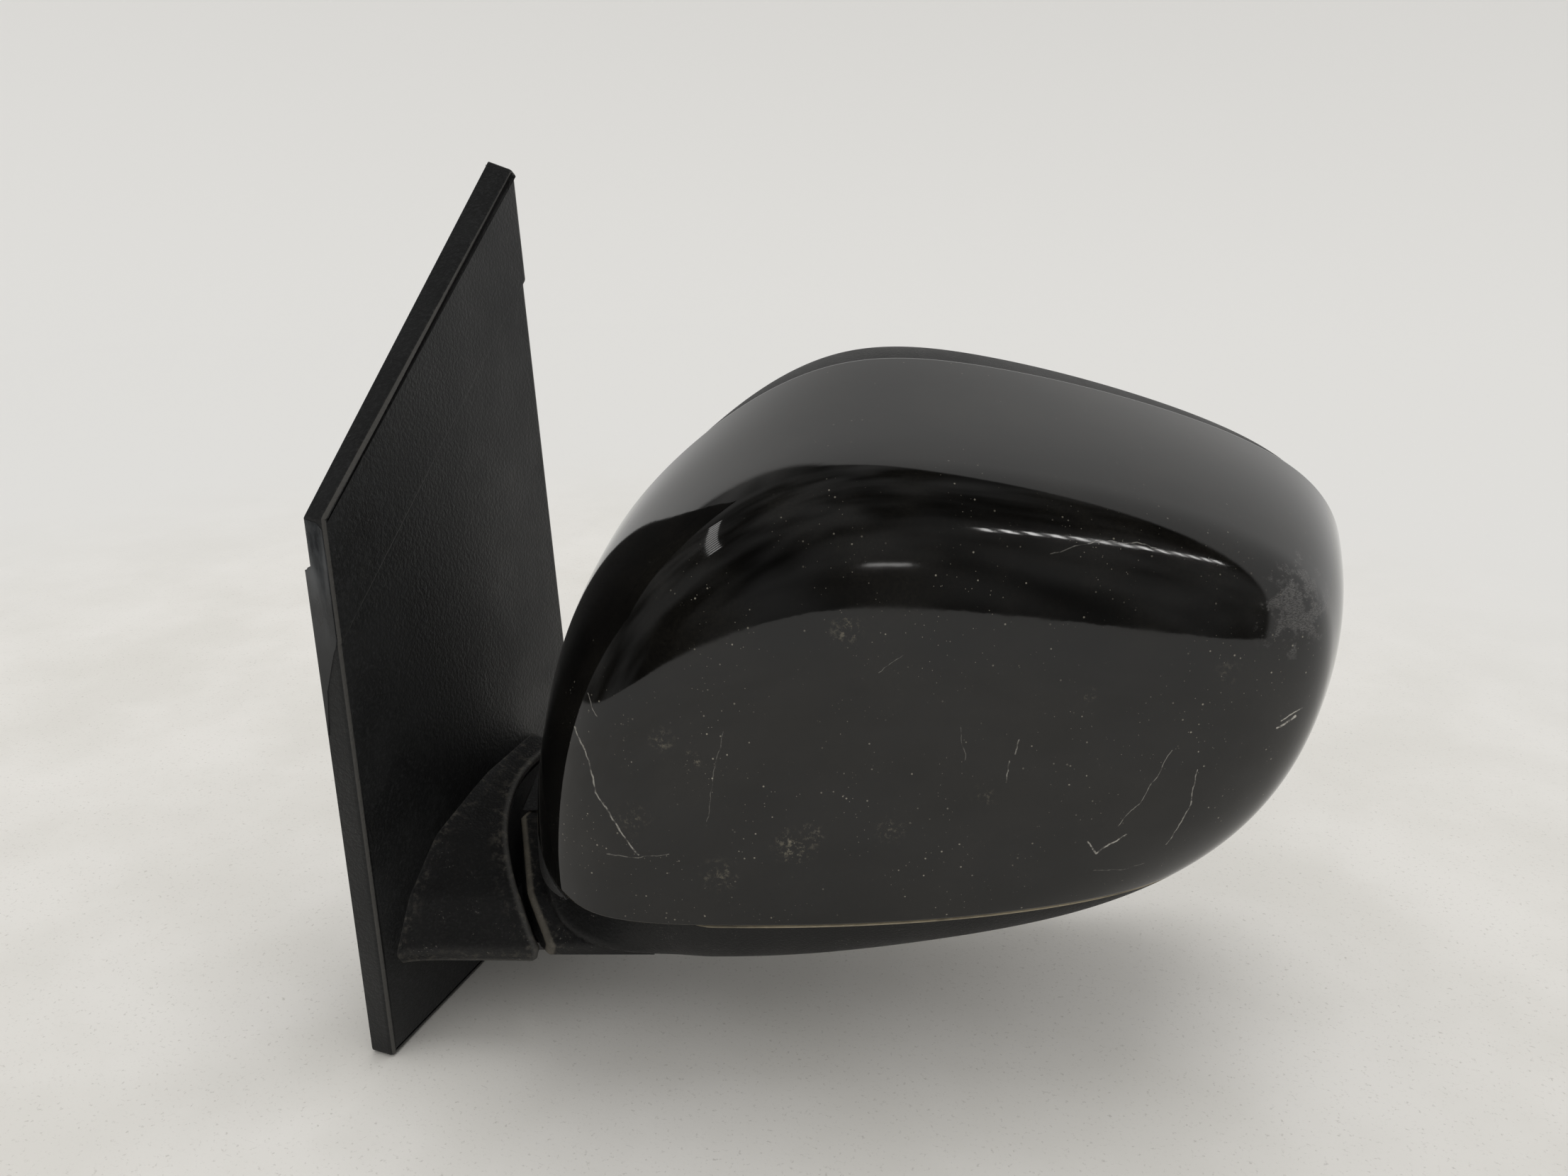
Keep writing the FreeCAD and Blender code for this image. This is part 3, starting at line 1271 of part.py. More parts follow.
make_sail_cover()
make_base_frame()
make_door_gasket()
make_mounting_studs()
make_cable_grommet()
make_cover_screws()
make_pivot_post()
make_detent_ring_fixed()
make_detent_ring_moving()
make_pivot_stack()
make_head_shells()
make_head_frame()
make_screw_group(
    "frame_screws",
    FRAME_SCREWS,
    "Dims.frame_screw_radius * 2",
    "Dims.frame_screw_radius",
    ("Dims.frame_front - 2.6", "Dims.frame_front - 0.1"),
    ("Dims.frame_front - 1", "8"),
)
make_actuator_case()
make_screw_group(
    "actuator_screws",
    ACTUATOR_SCREWS,
    "Dims.case_screw_radius + 1.1",
    "Dims.case_screw_radius",
    ("Dims.case_split + 2.1", "Dims.case_split + 3.6"),
    ("Dims.frame_front + 1", "Dims.case_split + 3"),
)
make_drives()
make_gimbal_ring()
make_glass()
make_lamp()
doc.recompute()

faults = []
for obj in doc.Objects:
    if "Invalid" in obj.State or "Error" in obj.State:
        faults.append("%s is %s" % (obj.Label, obj.State))
for piece in pieces:
    if piece.Shape.isNull() or not piece.Shape.isValid():
        faults.append("%s has no valid shape" % piece.Label)
if faults:
    raise RuntimeError("; ".join(faults))

os.makedirs("parts", exist_ok=True)
for piece in pieces:
    piece.Shape.exportStep("parts/%s.step" % piece.Label)
    print("%-20s solids %d volume %.0f" % (piece.Label, len(piece.Shape.Solids), piece.Shape.Volume))
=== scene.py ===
import json
import math

import bmesh
import bpy
import numpy as np
from mathutils import Matrix, Vector


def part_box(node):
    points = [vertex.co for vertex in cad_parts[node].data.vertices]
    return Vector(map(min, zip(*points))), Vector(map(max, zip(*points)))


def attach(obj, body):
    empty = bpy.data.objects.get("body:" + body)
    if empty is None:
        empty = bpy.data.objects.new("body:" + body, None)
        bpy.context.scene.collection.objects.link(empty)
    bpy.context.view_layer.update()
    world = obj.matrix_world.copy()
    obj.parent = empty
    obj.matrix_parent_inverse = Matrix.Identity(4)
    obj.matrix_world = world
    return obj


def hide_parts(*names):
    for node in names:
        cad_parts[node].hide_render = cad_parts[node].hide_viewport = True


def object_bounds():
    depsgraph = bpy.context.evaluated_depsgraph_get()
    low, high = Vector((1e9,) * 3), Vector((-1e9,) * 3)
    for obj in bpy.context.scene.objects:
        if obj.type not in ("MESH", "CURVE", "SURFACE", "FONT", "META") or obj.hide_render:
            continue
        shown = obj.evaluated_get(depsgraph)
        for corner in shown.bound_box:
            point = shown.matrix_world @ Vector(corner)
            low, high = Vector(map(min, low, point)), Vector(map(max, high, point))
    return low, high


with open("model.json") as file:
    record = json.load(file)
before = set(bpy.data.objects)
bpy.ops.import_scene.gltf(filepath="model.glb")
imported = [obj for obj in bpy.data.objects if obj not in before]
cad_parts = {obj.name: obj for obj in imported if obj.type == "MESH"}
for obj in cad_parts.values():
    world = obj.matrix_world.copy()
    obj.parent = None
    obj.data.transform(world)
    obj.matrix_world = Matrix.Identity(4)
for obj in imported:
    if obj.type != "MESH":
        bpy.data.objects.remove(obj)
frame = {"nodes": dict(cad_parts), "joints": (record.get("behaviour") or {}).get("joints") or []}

# The looks of a folding door mirror.  Outlines and walls are drawn in millimetres and turned
# into metres when a mesh is made.  The head's own frame is u outboard along the head, w to
# the rear and z up, with its origin on the fold axis.

CAD_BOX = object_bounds()
MM = 0.001
JOINTS = {joint["name"]: joint for joint in frame["joints"]}
FOLD_SPOT = Vector(JOINTS["head_fold"]["pos_m"])
HEAD_ALONG = Vector(JOINTS["glass_tilt"]["axis"])
HEAD_YAW = math.atan2(HEAD_ALONG.y, HEAD_ALONG.x)
HEAD_PLACE = Matrix.Translation(FOLD_SPOT) @ Matrix.Rotation(HEAD_YAW, 4, "Z")
ROW_PLACE = Matrix.Identity(4)


def smooth_step(share):
    """A share held between 0 and 1, with a soft start and end."""
    share = np.clip(share, 0, 1)
    return share * share * (3 - 2 * share)


# ---------------------------------------------------------------- outlines

# Control points of closed uniform cubic B-splines, (u, z).
REAR_OUTLINE = np.array([
    (-42, -66), (-46, -34), (-42, 12), (-24, 58), (8, 92), (46, 117), (92, 113), (150, 98),
    (198, 79), (218, 53), (212, 8), (190, -27), (147, -50), (92, -63), (40, -67.5), (0, -67),
], float)
FRONT_OUTLINE = np.array([
    (-42, -66), (-46, -34), (-42, 12), (-26, 58), (6, 92), (48, 115), (92, 114), (154, 102),
    (201, 83), (216, 58), (211, 12), (188, -24), (146, -48), (90, -60), (40, -67), (0, -67),
], float)
GLASS_OUTLINE = np.array([
    (23, -44), (10, -22), (12, 25), (27, 66), (56, 93), (95, 98), (142, 86), (179, 69),
    (196, 45), (191, 12), (174, -16), (140, -38), (95, -47), (56, -48),
], float)

# Rings of the head's outer surface: (w, share of the front outline, then how far the left,
# right, top and bottom sides stand in from the outline).
HEAD_RINGS = [
    (38, 0, 2, 1, 1, 0),
    (32, 0.1, 1, 1, 1, 0),
    (20, 0.35, 0, 5, 4, 0),
    (0, 0.8, -2, 12, 10, 1),
    (-20, 1, 0, 20, 16, 2),
    (-36, 1, 3, 29, 21, 5),
    (-50, 1, 11, 39, 27, 13),
    (-55, 1, 30, 76, 54, 30),
    (-55, 1, 70, 130, 88, 60),
]

# Lower edge of the painted cap, (u, z), from the left.
CAP_EDGE = [
    (-70, -6), (-56, -6), (-49, -11), (-43, -22), (-36, -31.5), (-27, -37), (-12, -39.5),
    (30, -40), (75, -38), (120, -33), (160, -27), (230, -18),
]

# Section of the arm at the plate, (y, z), and at the joint, (w, z).
ARM_AT_PLATE = [(-50, -68), (-54, -61), (-45, -46), (-29, -33), (0, -27), (28, -25), (38, -32), (40, -68)]
ARM_AT_JOINT = [(-37, -69), (-39, -61), (-28, -49), (0, -36), (18, -29), (28, -27), (36, -31), (38, -69)]

WALL = 2.5                # head shells
ARM_BOTTOM = -66.8
ARM_JOINT_U = -30.0       # where the arm's section at the joint stands
SEAM = 0.2                # half of a parting gap
BAND_FRONT = 20.0         # parting between the cap and the rear band, w
PAST_BAND = 3.0           # how far surfaces run past the parting before they are trimmed
HEAD_REAR = 38.0          # bezel face, w
FLOOR_SEAM = -36.0        # parting between the halves of the knuckle, z
KNUCKLE_BOTTOM = -64.5
KNUCKLE_RADIUS = 57.0
CUP_RADIUS = 60.0         # concave end of the arm
CORNER_RADIUS = 0.7       # rounding of moulded edges


def closed_curve(points, count):
    """Points spread round a closed uniform cubic B-spline."""
    total = len(points)
    place = np.arange(count) * total / count
    first = np.floor(place).astype(int)
    f = (place - first)[:, None]
    shares = ((1 - f) ** 3, 3 * f ** 3 - 6 * f ** 2 + 4, -3 * f ** 3 + 3 * f ** 2 + 3 * f + 1, f ** 3)
    return sum(share * points[(first + k) % total] for k, share in enumerate(shares)) / 6


def inset(points, left, right, top, bottom):
    """Control points whose bounding box is drawn in by four distances."""
    low, high = points.min(0), points.max(0)
    size = high - low
    share = (size - (left + right, top + bottom)) / size
    return low + (left, bottom) + (points - low) * share


def clamped_weights(place, count, degree=3):
    """Shares of the control rings at a place along a clamped uniform cubic B-spline."""
    spans = count - degree
    knots = [0] * degree + list(range(spans + 1)) + [spans] * degree
    place = min(max(place, 0.0), spans - 1e-9)
    shares = [1.0 if knots[i] <= place < knots[i + 1] else 0.0 for i in range(len(knots) - 1)]
    for d in range(1, degree + 1):
        raised = []
        for i in range(len(shares) - 1):
            before = knots[i + d] - knots[i]
            after = knots[i + d + 1] - knots[i + 1]
            rise = (place - knots[i]) / before * shares[i] if before else 0.0
            fall = (knots[i + d + 1] - place) / after * shares[i + 1] if after else 0.0
            raised.append(rise + fall)
        shares = raised
    return np.array(shares)


RING_POINTS = np.array([
    inset(REAR_OUTLINE * (1 - share) + FRONT_OUTLINE * share, *sides)
    for _, share, *sides in HEAD_RINGS
])
RING_W = np.array([ring[0] for ring in HEAD_RINGS], float)
HEAD_SPANS = len(HEAD_RINGS) - 3


def head_outline(place, count):
    """The head's outline at a place along its rings: (u, z) points and their w."""
    weights = clamped_weights(place, len(HEAD_RINGS))
    return closed_curve(np.tensordot(weights, RING_POINTS, 1), count), float(weights @ RING_W)


def head_place_at(w):
    """Place along the rings where the surface stands at w, on its steady rear part."""
    places = np.linspace(0, 3, 400)
    depths = [clamped_weights(p, len(HEAD_RINGS)) @ RING_W for p in places]
    return float(np.interp(-w, -np.array(depths), places))


def even_steps(points, count):
    """Points at even steps along a polyline."""
    points = np.array(points)
    run = np.concatenate([[0], np.cumsum(np.linalg.norm(np.diff(points, axis=0), axis=1))])
    even = np.linspace(0, run[-1], count)
    return np.stack([np.interp(even, run, points[:, k]) for k in (0, 1)], 1)


def smooth_line(points, count):
    """A smooth curve through the points, with even steps (centripetal Catmull-Rom)."""
    points = np.array(points, float)
    ends = [2 * points[0] - points[1], *points, 2 * points[-1] - points[-2]]
    found = []
    for a, b, c, d in zip(ends, ends[1:], ends[2:], ends[3:]):
        times = [0.0]
        for p, q in ((a, b), (b, c), (c, d)):
            times.append(times[-1] + math.sqrt(np.linalg.norm(q - p)))
        t0, t1, t2, t3 = times
        for t in np.linspace(t1, t2, 40, endpoint=False):
            ab = a + (b - a) * (t - t0) / (t1 - t0)
            bc = b + (c - b) * (t - t1) / (t2 - t1)
            cd = c + (d - c) * (t - t2) / (t3 - t2)
            abc = ab + (bc - ab) * (t - t0) / (t2 - t0)
            bcd = bc + (cd - bc) * (t - t1) / (t3 - t1)
            found.append(abc + (bcd - abc) * (t - t1) / (t2 - t1))
    found.append(points[-1])
    return even_steps(found, count)


CAP_LINE = smooth_line(CAP_EDGE, 260)


def above_cap_line(spots):
    """Signed distance, in the (u, z) plane, above the cap's lower edge."""
    p = spots[:, (0, 2)]
    a, b = CAP_LINE[:-1], CAP_LINE[1:]
    along = b - a
    share = ((p[:, None] - a) * along).sum(2) / (along ** 2).sum(1)
    near = a + along * np.clip(share, 0, 1)[..., None]
    gap = np.linalg.norm(p[:, None] - near, axis=2)
    best = gap.argmin(1)
    rows = np.arange(len(p))
    side = along[best, 0] * (p[:, 1] - a[best, 1]) - along[best, 1] * (p[:, 0] - a[best, 0])
    return np.sign(side) * gap[rows, best]


# ---------------------------------------------------------------- meshes

def unit(vectors):
    return vectors / np.maximum(np.linalg.norm(vectors, axis=-1, keepdims=True), 1e-12)


def smooth_piece(name, mesh):
    """A smooth shaded object of a mesh, in the scene."""
    for polygon in mesh.polygons:
        polygon.use_smooth = True
    piece = bpy.data.objects.new(name, mesh)
    bpy.context.scene.collection.objects.link(piece)
    return piece


class Solid:
    """Points, normals, distances from the nearest edge and faces collected for one mesh."""

    def __init__(self):
        self.spots = []
        self.normals = []
        self.edge = []
        self.faces = []
        self.count = 0

    def add(self, spots, normals, edge=20.0):
        first = self.count
        spots = np.asarray(spots, float)
        self.spots.append(spots)
        self.normals.append(np.broadcast_to(normals, spots.shape))
        self.edge.append(np.broadcast_to(np.asarray(edge, float), len(spots)))
        self.count += len(spots)
        return first

    def fan(self, start, count, centre, normal, reverse):
        """Close a ring of points with triangles round a centre."""
        middle = self.add([centre], normal)
        for k in range(count):
            face = [start + k, start + (k + 1) % count, middle]
            self.faces.append(face[::-1] if reverse else face)

    def make(self, name, body, place, custom_normals=True):
        """A mesh object from the millimetre points, put in the row frame, that rides on a body."""
        turn = np.array(place.to_3x3())
        spots = np.concatenate(self.spots) * MM @ turn.T + np.array(place.translation)
        mesh = bpy.data.meshes.new(name)
        mesh.from_pydata(spots.tolist(), [], [tuple(int(v) for v in face) for face in self.faces])
        mesh.update()
        piece = smooth_piece(name, mesh)
        store = mesh.attributes.new("edge", "FLOAT", "POINT")
        store.data.foreach_set("value", np.concatenate(self.edge).astype(np.float32))
        if custom_normals:
            normals = unit(np.concatenate(self.normals)) @ turn.T
            mesh.normals_split_custom_set_from_vertices(normals.tolist())
        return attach(piece, body)


def strip_faces(count, lower, upper, closed=True):
    """Quads between two rows of points."""
    steps = count if closed else count - 1
    return [[lower + k, lower + (k + 1) % count, upper + (k + 1) % count, upper + k] for k in range(steps)]


def grid_normals(grid):
    """Normals of a grid of rows that close round their columns."""
    around = np.roll(grid, -1, 1) - np.roll(grid, 1, 1)
    along = np.gradient(grid, axis=0)
    return unit(np.cross(around, along))


def slope(value, spots, step=0.01):
    """Gradient of a scalar function of position."""
    parts = []
    for axis in range(3):
        shift = np.zeros(3)
        shift[axis] = step
        parts.append((value(spots + shift) - value(spots - shift)) / (2 * step))
    return np.stack(parts, 1)


def in_surface(value, spots, normals):
    """A trim's distance measured along the surface, and its direction there."""
    rise = slope(value, spots)
    rise = rise - (rise * normals).sum(1, keepdims=True) * normals
    return value(spots) / np.maximum(np.linalg.norm(rise, axis=1), 0.35), rise


def trimmed_shell(solid, grid, normals, closed, trims, radius, wall, lip=0.3):
    """Keep the part of a surface where every trim is positive, as a shell with rounded edges."""
    rows, columns = grid.shape[:2]
    spots = grid.reshape(-1, 3)
    normals = normals.reshape(-1, 3)
    gap = np.full(len(spots), 1e3)
    for trim in trims:
        value = trim(spots)
        close = np.abs(value) < 8
        if close.any():
            value[close] = in_surface(trim, spots[close], normals[close])[0]
        gap = np.minimum(gap, value - radius)

    def whole(points):
        return np.min([trim(points) for trim in trims], axis=0)

    new_spots, new_normals, new_gap, crossing = [], [], [], {}

    def cross(a, b):
        key = (min(a, b), max(a, b))
        if key not in crossing:
            share = gap[a] / (gap[a] - gap[b])
            crossing[key] = len(spots) + len(new_spots)
            new_spots.append(spots[a] + (spots[b] - spots[a]) * share)
            new_normals.append(normals[a] + (normals[b] - normals[a]) * share)
            new_gap.append(0.0)
        return crossing[key]

    faces, following = [], {}
    for i in range(rows - 1):
        for j in range(columns if closed else columns - 1):
            k = (j + 1) % columns
            corners = [i * columns + j, i * columns + k, (i + 1) * columns + k, (i + 1) * columns + j]
            inside = [gap[c] > 0 for c in corners]
            if all(inside):
                faces.append(corners)
            elif any(inside):
                polygon, exits = [], []
                for s in range(4):
                    a, b = corners[s], corners[(s + 1) % 4]
                    if inside[s]:
                        polygon.append(a)
                    if inside[s] != inside[(s + 1) % 4]:
                        spot = cross(a, b)
                        polygon.append(spot)
                        exits.append((spot, inside[s]))
                faces.append(polygon)
                for s, (spot, leaving) in enumerate(exits):
                    if leaving:
                        following[spot] = exits[(s + 1) % len(exits)][0]
    all_spots = np.concatenate([spots, np.array(new_spots).reshape(-1, 3)])
    all_normals = unit(np.concatenate([normals, np.array(new_normals).reshape(-1, 3)]))
    all_gap = np.concatenate([gap, np.array(new_gap)])

    used = np.array(sorted({v for face in faces for v in face}))
    renumber = {int(v): n for n, v in enumerate(used)}
    outer_spots, outer_normals = all_spots[used], all_normals[used]
    near = np.clip(all_gap[used], 0, 20)
    outer = solid.add(outer_spots, outer_normals, near)
    inner = solid.add(outer_spots - outer_normals * wall, -outer_normals, near + 20)
    for face in faces:
        solid.faces.append([outer + renumber[v] for v in face])
        solid.faces.append([inner + renumber[v] for v in reversed(face)])

    waiting = set(following)
    while waiting:
        loop = [waiting.pop()]
        while following.get(loop[-1]) in waiting:
            waiting.discard(following[loop[-1]])
            loop.append(following[loop[-1]])
        if len(loop) < 3:
            continue
        p, n = all_spots[loop], all_normals[loop]
        out = -unit(in_surface(whole, p, n)[1])
        bends = [math.radians(angle) for angle in (22.5, 45, 67.5, 90)]
        spread = [(radius * math.sin(b), radius * (1 - math.cos(b)), math.cos(b), math.sin(b)) for b in bends]
        spread.append((radius, wall - lip, 0.0, 1.0))
        spread.append((radius - lip, wall, -0.7, 0.7))
        row = [outer + renumber[v] for v in loop]
        for reach, drop, up, side in spread:
            start = solid.add(p + out * reach - n * drop, n * up + out * side, 0.0)
            fresh = list(range(start, start + len(loop)))
            join_rows(solid, row, fresh)
            row = fresh
        join_rows(solid, row, [inner + renumber[v] for v in loop])


def join_rows(solid, row, fresh):
    count = len(row)
    for k in range(count):
        m = (k + 1) % count
        solid.faces.append([row[m], row[k], fresh[k], fresh[m]])


# ---------------------------------------------------------------- head surface

HEAD_COLUMNS = 352
HEAD_ROWS = 132
FRONT_RINGS = 12
CROWN_MIDDLE = (66, 24)
CROWN_HALF = (118, 80)
CROWN_START = 36.0        # depth in front of the fold axis where the swell starts
CROWN_DEPTH = 16.0
CROWN_RISE = 2.4
FLAT_REACH = 54.0         # radius of the flat underside round the fold axis
FLAT_FADE = 8.0
FLAT_DROP = 6.0
CHIN_END = 10.0           # u where the chin starts to draw back
CHIN_LENGTH = 44.0
KNUCKLE_FRONT = (-60, -49, -40), (-38.4, -28.5, -20)   # heights and their w


def crown(spots):
    """A slight swell of the head's front, over an ellipse in (u, z)."""
    spots = spots.copy()
    away = (spots[:, (0, 2)] - CROWN_MIDDLE) / CROWN_HALF
    share = 1 - away[:, 0] ** 2 - away[:, 1] ** 2
    depth = np.clip((-spots[:, 1] - CROWN_START) / CROWN_DEPTH, 0, 1)
    spots[:, 1] -= CROWN_RISE * np.clip(share, 0, 1) ** 1.5 * depth
    return spots


def relieved(spots):
    """The underside drawn up to a flat round the fold axis, which turns over the foot."""
    spots = spots.copy()
    reach = np.hypot(spots[:, 0], spots[:, 1])
    floor = KNUCKLE_BOTTOM - FLAT_DROP * smooth_step((reach - FLAT_REACH) / FLAT_FADE)
    spots[:, 2] = np.maximum(spots[:, 2], floor)
    return spots


def chin_blended(spots):
    """The lower shell's left end drawn back to the front of the knuckle."""
    spots = spots.copy()
    front = np.interp(spots[:, 2], *KNUCKLE_FRONT)
    share = smooth_step((CHIN_END - spots[:, 0]) / CHIN_LENGTH)
    spots[:, 1] += (np.maximum(spots[:, 1], front) - spots[:, 1]) * share
    return spots


def head_grid(relieve):
    """The head's outer surface as rows from behind the parting to the middle of the front."""
    places = np.linspace(head_place_at(BAND_FRONT + PAST_BAND), HEAD_SPANS, HEAD_ROWS)
    rows = []
    for place in places:
        flat, w = head_outline(place, HEAD_COLUMNS)
        rows.append(np.stack([flat[:, 0], np.full(HEAD_COLUMNS, w), flat[:, 1]], 1))
    middle = rows[-1].mean(0)
    for k in range(1, FRONT_RINGS):
        rows.append(middle + (rows[len(places) - 1] - middle) * (1 - k / FRONT_RINGS))
    grid = np.array([crown(row) for row in rows])
    if relieve:
        grid = np.array([chin_blended(relieved(row)) for row in grid])
    return grid, grid_normals(grid)


def make_cap():
    """Painted front shell, with a rounded edge along its seams."""
    grid, normals = head_grid(False)
    solid = Solid()
    trims = [
        lambda p: BAND_FRONT - SEAM - p[:, 1],
        lambda p: above_cap_line(p) - SEAM,
    ]
    trimmed_shell(solid, grid, normals, True, trims, CORNER_RADIUS, WALL)
    close_front(solid, grid, normals)
    return solid.make("cap_shell", "head", HEAD_PLACE)


def close_front(solid, grid, normals):
    """Fill the small ring left in the middle of the front, outside and inside."""
    ring = grid[-1]
    normal = unit(normals[-1].mean(0))
    for shift, facing in ((0, 1), (WALL, -1)):
        first = solid.add(ring - normals[-1] * shift, normals[-1] * facing)
        solid.fan(first, len(ring), ring.mean(0) - normal * shift, normal * facing, facing < 0)


LAMP_MIDDLE = (87.0, -9.0)
LAMP_HALF = (25.0, 13.0)
POST_OPENING = 19.0
UNDERSIDE = -40.0         # the openings are cut only below this z
FAR = 50.0
KNUCKLE_START = -14.0     # u where the upper half of the knuckle ends


def outside_lens(spots):
    """Distance outside the lamp's opening on the underside; large on the upper side."""
    beside = np.abs(spots[:, :2] - LAMP_MIDDLE) - LAMP_HALF
    outside = np.linalg.norm(np.maximum(beside, 0), axis=1) + np.minimum(beside.max(1), 0)
    return np.where(spots[:, 2] < UNDERSIDE, outside, FAR)


def outside_post(spots):
    """Distance outside the opening round the pivot post; large on the upper side."""
    reach = np.hypot(spots[:, 0], spots[:, 1]) - POST_OPENING
    return np.where(spots[:, 2] < UNDERSIDE, reach, FAR)


def below_knuckle_seam(spots):
    """Positive outside the zone of the knuckle's upper half."""
    return np.maximum(FLOOR_SEAM - SEAM - spots[:, 2], spots[:, 0] - KNUCKLE_START)


def outline_normals(flat):
    """Normals of a closed (u, w) outline that turn away from its middle."""
    along = unit(np.roll(flat, -1, 0) - np.roll(flat, 1, 0))
    out = np.stack([along[:, 1], -along[:, 0]], 1)
    if ((flat - flat.mean(0)) * out).sum() < 0:
        out = -out
    return out


# Sections of the knuckle's halves, (w, z), which carry on the section of the arm.
LOWER_KNUCKLE = [(-37, -64.5), (-38.4, -60), (-28, -49), (-1.2, -36.2), (36, -36.2), (37.5, -64.5)]
LOWER_KNUCKLE_ROUNDS = [1.0, 2.4, 9.0, 0.5, 0.5, 1.2]
UPPER_KNUCKLE = [(0.6, -35.8), (18, -29), (28, -27), (35.6, -31), (36.2, -35.8)]
UPPER_KNUCKLE_ROUNDS = [0.3, 10.0, 4.0, 3.0, 0.4]
KNUCKLE_ROUND = 1.4
KNUCKLE_INNER = -10.0


def knuckle_half(solid, corners, rounds, radius):
    """Prism along u over a (w, z) section, ended by the knuckle's cylinder with a rounded edge."""
    section = rounded_polygon(corners, rounds, 9)
    middle = section.mean(0)
    out = outline_normals(section)
    rows = []

    def end_u(flat):
        return -np.sqrt(KNUCKLE_RADIUS ** 2 - flat[:, 0] ** 2)

    def row(flat, u, normals, edge):
        rows.append(solid.add(np.column_stack([u, flat]), normals, edge))

    side = np.column_stack([np.zeros(len(out)), out])
    for share in (0.02, 0.2, 0.4, 0.6, 0.8, 0.92):
        flat = middle + (section - middle) * share
        face = np.column_stack([end_u(flat), flat[:, 0], np.zeros(len(flat))]) / KNUCKLE_RADIUS
        row(flat, end_u(flat), face, 6.0)
    for bend in np.radians([0, 22.5, 45, 67.5, 90]):
        flat = section - out * radius * (1 - math.sin(bend))
        face = np.column_stack([end_u(flat), flat[:, 0], np.zeros(len(flat))]) / KNUCKLE_RADIUS
        normals = face * math.cos(bend) + side * math.sin(bend)
        row(flat, end_u(flat) + radius * (1 - math.cos(bend)), normals, 0.3)
    row(section, end_u(section) + radius + 3, side, 4.0)
    row(section, np.full(len(section), KNUCKLE_INNER), side, 20.0)
    count = len(section)
    for lower, upper in zip(rows, rows[1:]):
        solid.faces += [face[::-1] for face in strip_faces(count, lower, upper)]
    solid.fan(rows[0], count, (end_u(middle[None])[0], *middle), (-1, 0, 0), False)
    solid.fan(rows[-1], count, (KNUCKLE_INNER, *middle), (1, 0, 0), True)


def make_lower_housing():
    """Lower shell with the lower half of the knuckle."""
    grid, normals = head_grid(True)
    solid = Solid()
    trims = [
        lambda p: BAND_FRONT - SEAM - p[:, 1],
        lambda p: -above_cap_line(p) - SEAM,
        below_knuckle_seam,
        outside_lens,
        outside_post,
    ]
    trimmed_shell(solid, grid, normals, True, trims, CORNER_RADIUS, WALL)
    knuckle_half(solid, LOWER_KNUCKLE, LOWER_KNUCKLE_ROUNDS, KNUCKLE_ROUND)
    return solid.make("lower_shell", "head", HEAD_PLACE)


def polar_radius(flat, middle, angles):
    """Distance of an outline from a middle, at each angle round it."""
    away = flat - middle
    turn = np.arctan2(away[:, 1], away[:, 0])
    order = np.argsort(turn)
    return np.interp(angles, turn[order], np.hypot(*away.T)[order], period=2 * math.pi)


REAR_MIDDLE = np.array([95.0, 24.0])
REAR_COLUMNS = 480
BAND_ROW = 12             # a row on the outside of the band
FINE = 2400               # points of an outline before it is cut into columns
BAND_ROUND = 3.0
SEAM_ROUND = 0.6
FACE_DISH = 1.4           # how far the bezel face falls toward the glass
OPENING_ROUND = 1.4
GLASS_GAP = 5.5
COLLAR = 2.0
BEZEL_LIP = 22.0


def rear_ring(flat):
    """Points of an outline at even angles about the head's middle."""
    angles = np.linspace(-math.pi, math.pi, REAR_COLUMNS, endpoint=False)
    reach = polar_radius(flat, REAR_MIDDLE, angles)
    return REAR_MIDDLE + np.stack([np.cos(angles), np.sin(angles)], 1) * reach[:, None]


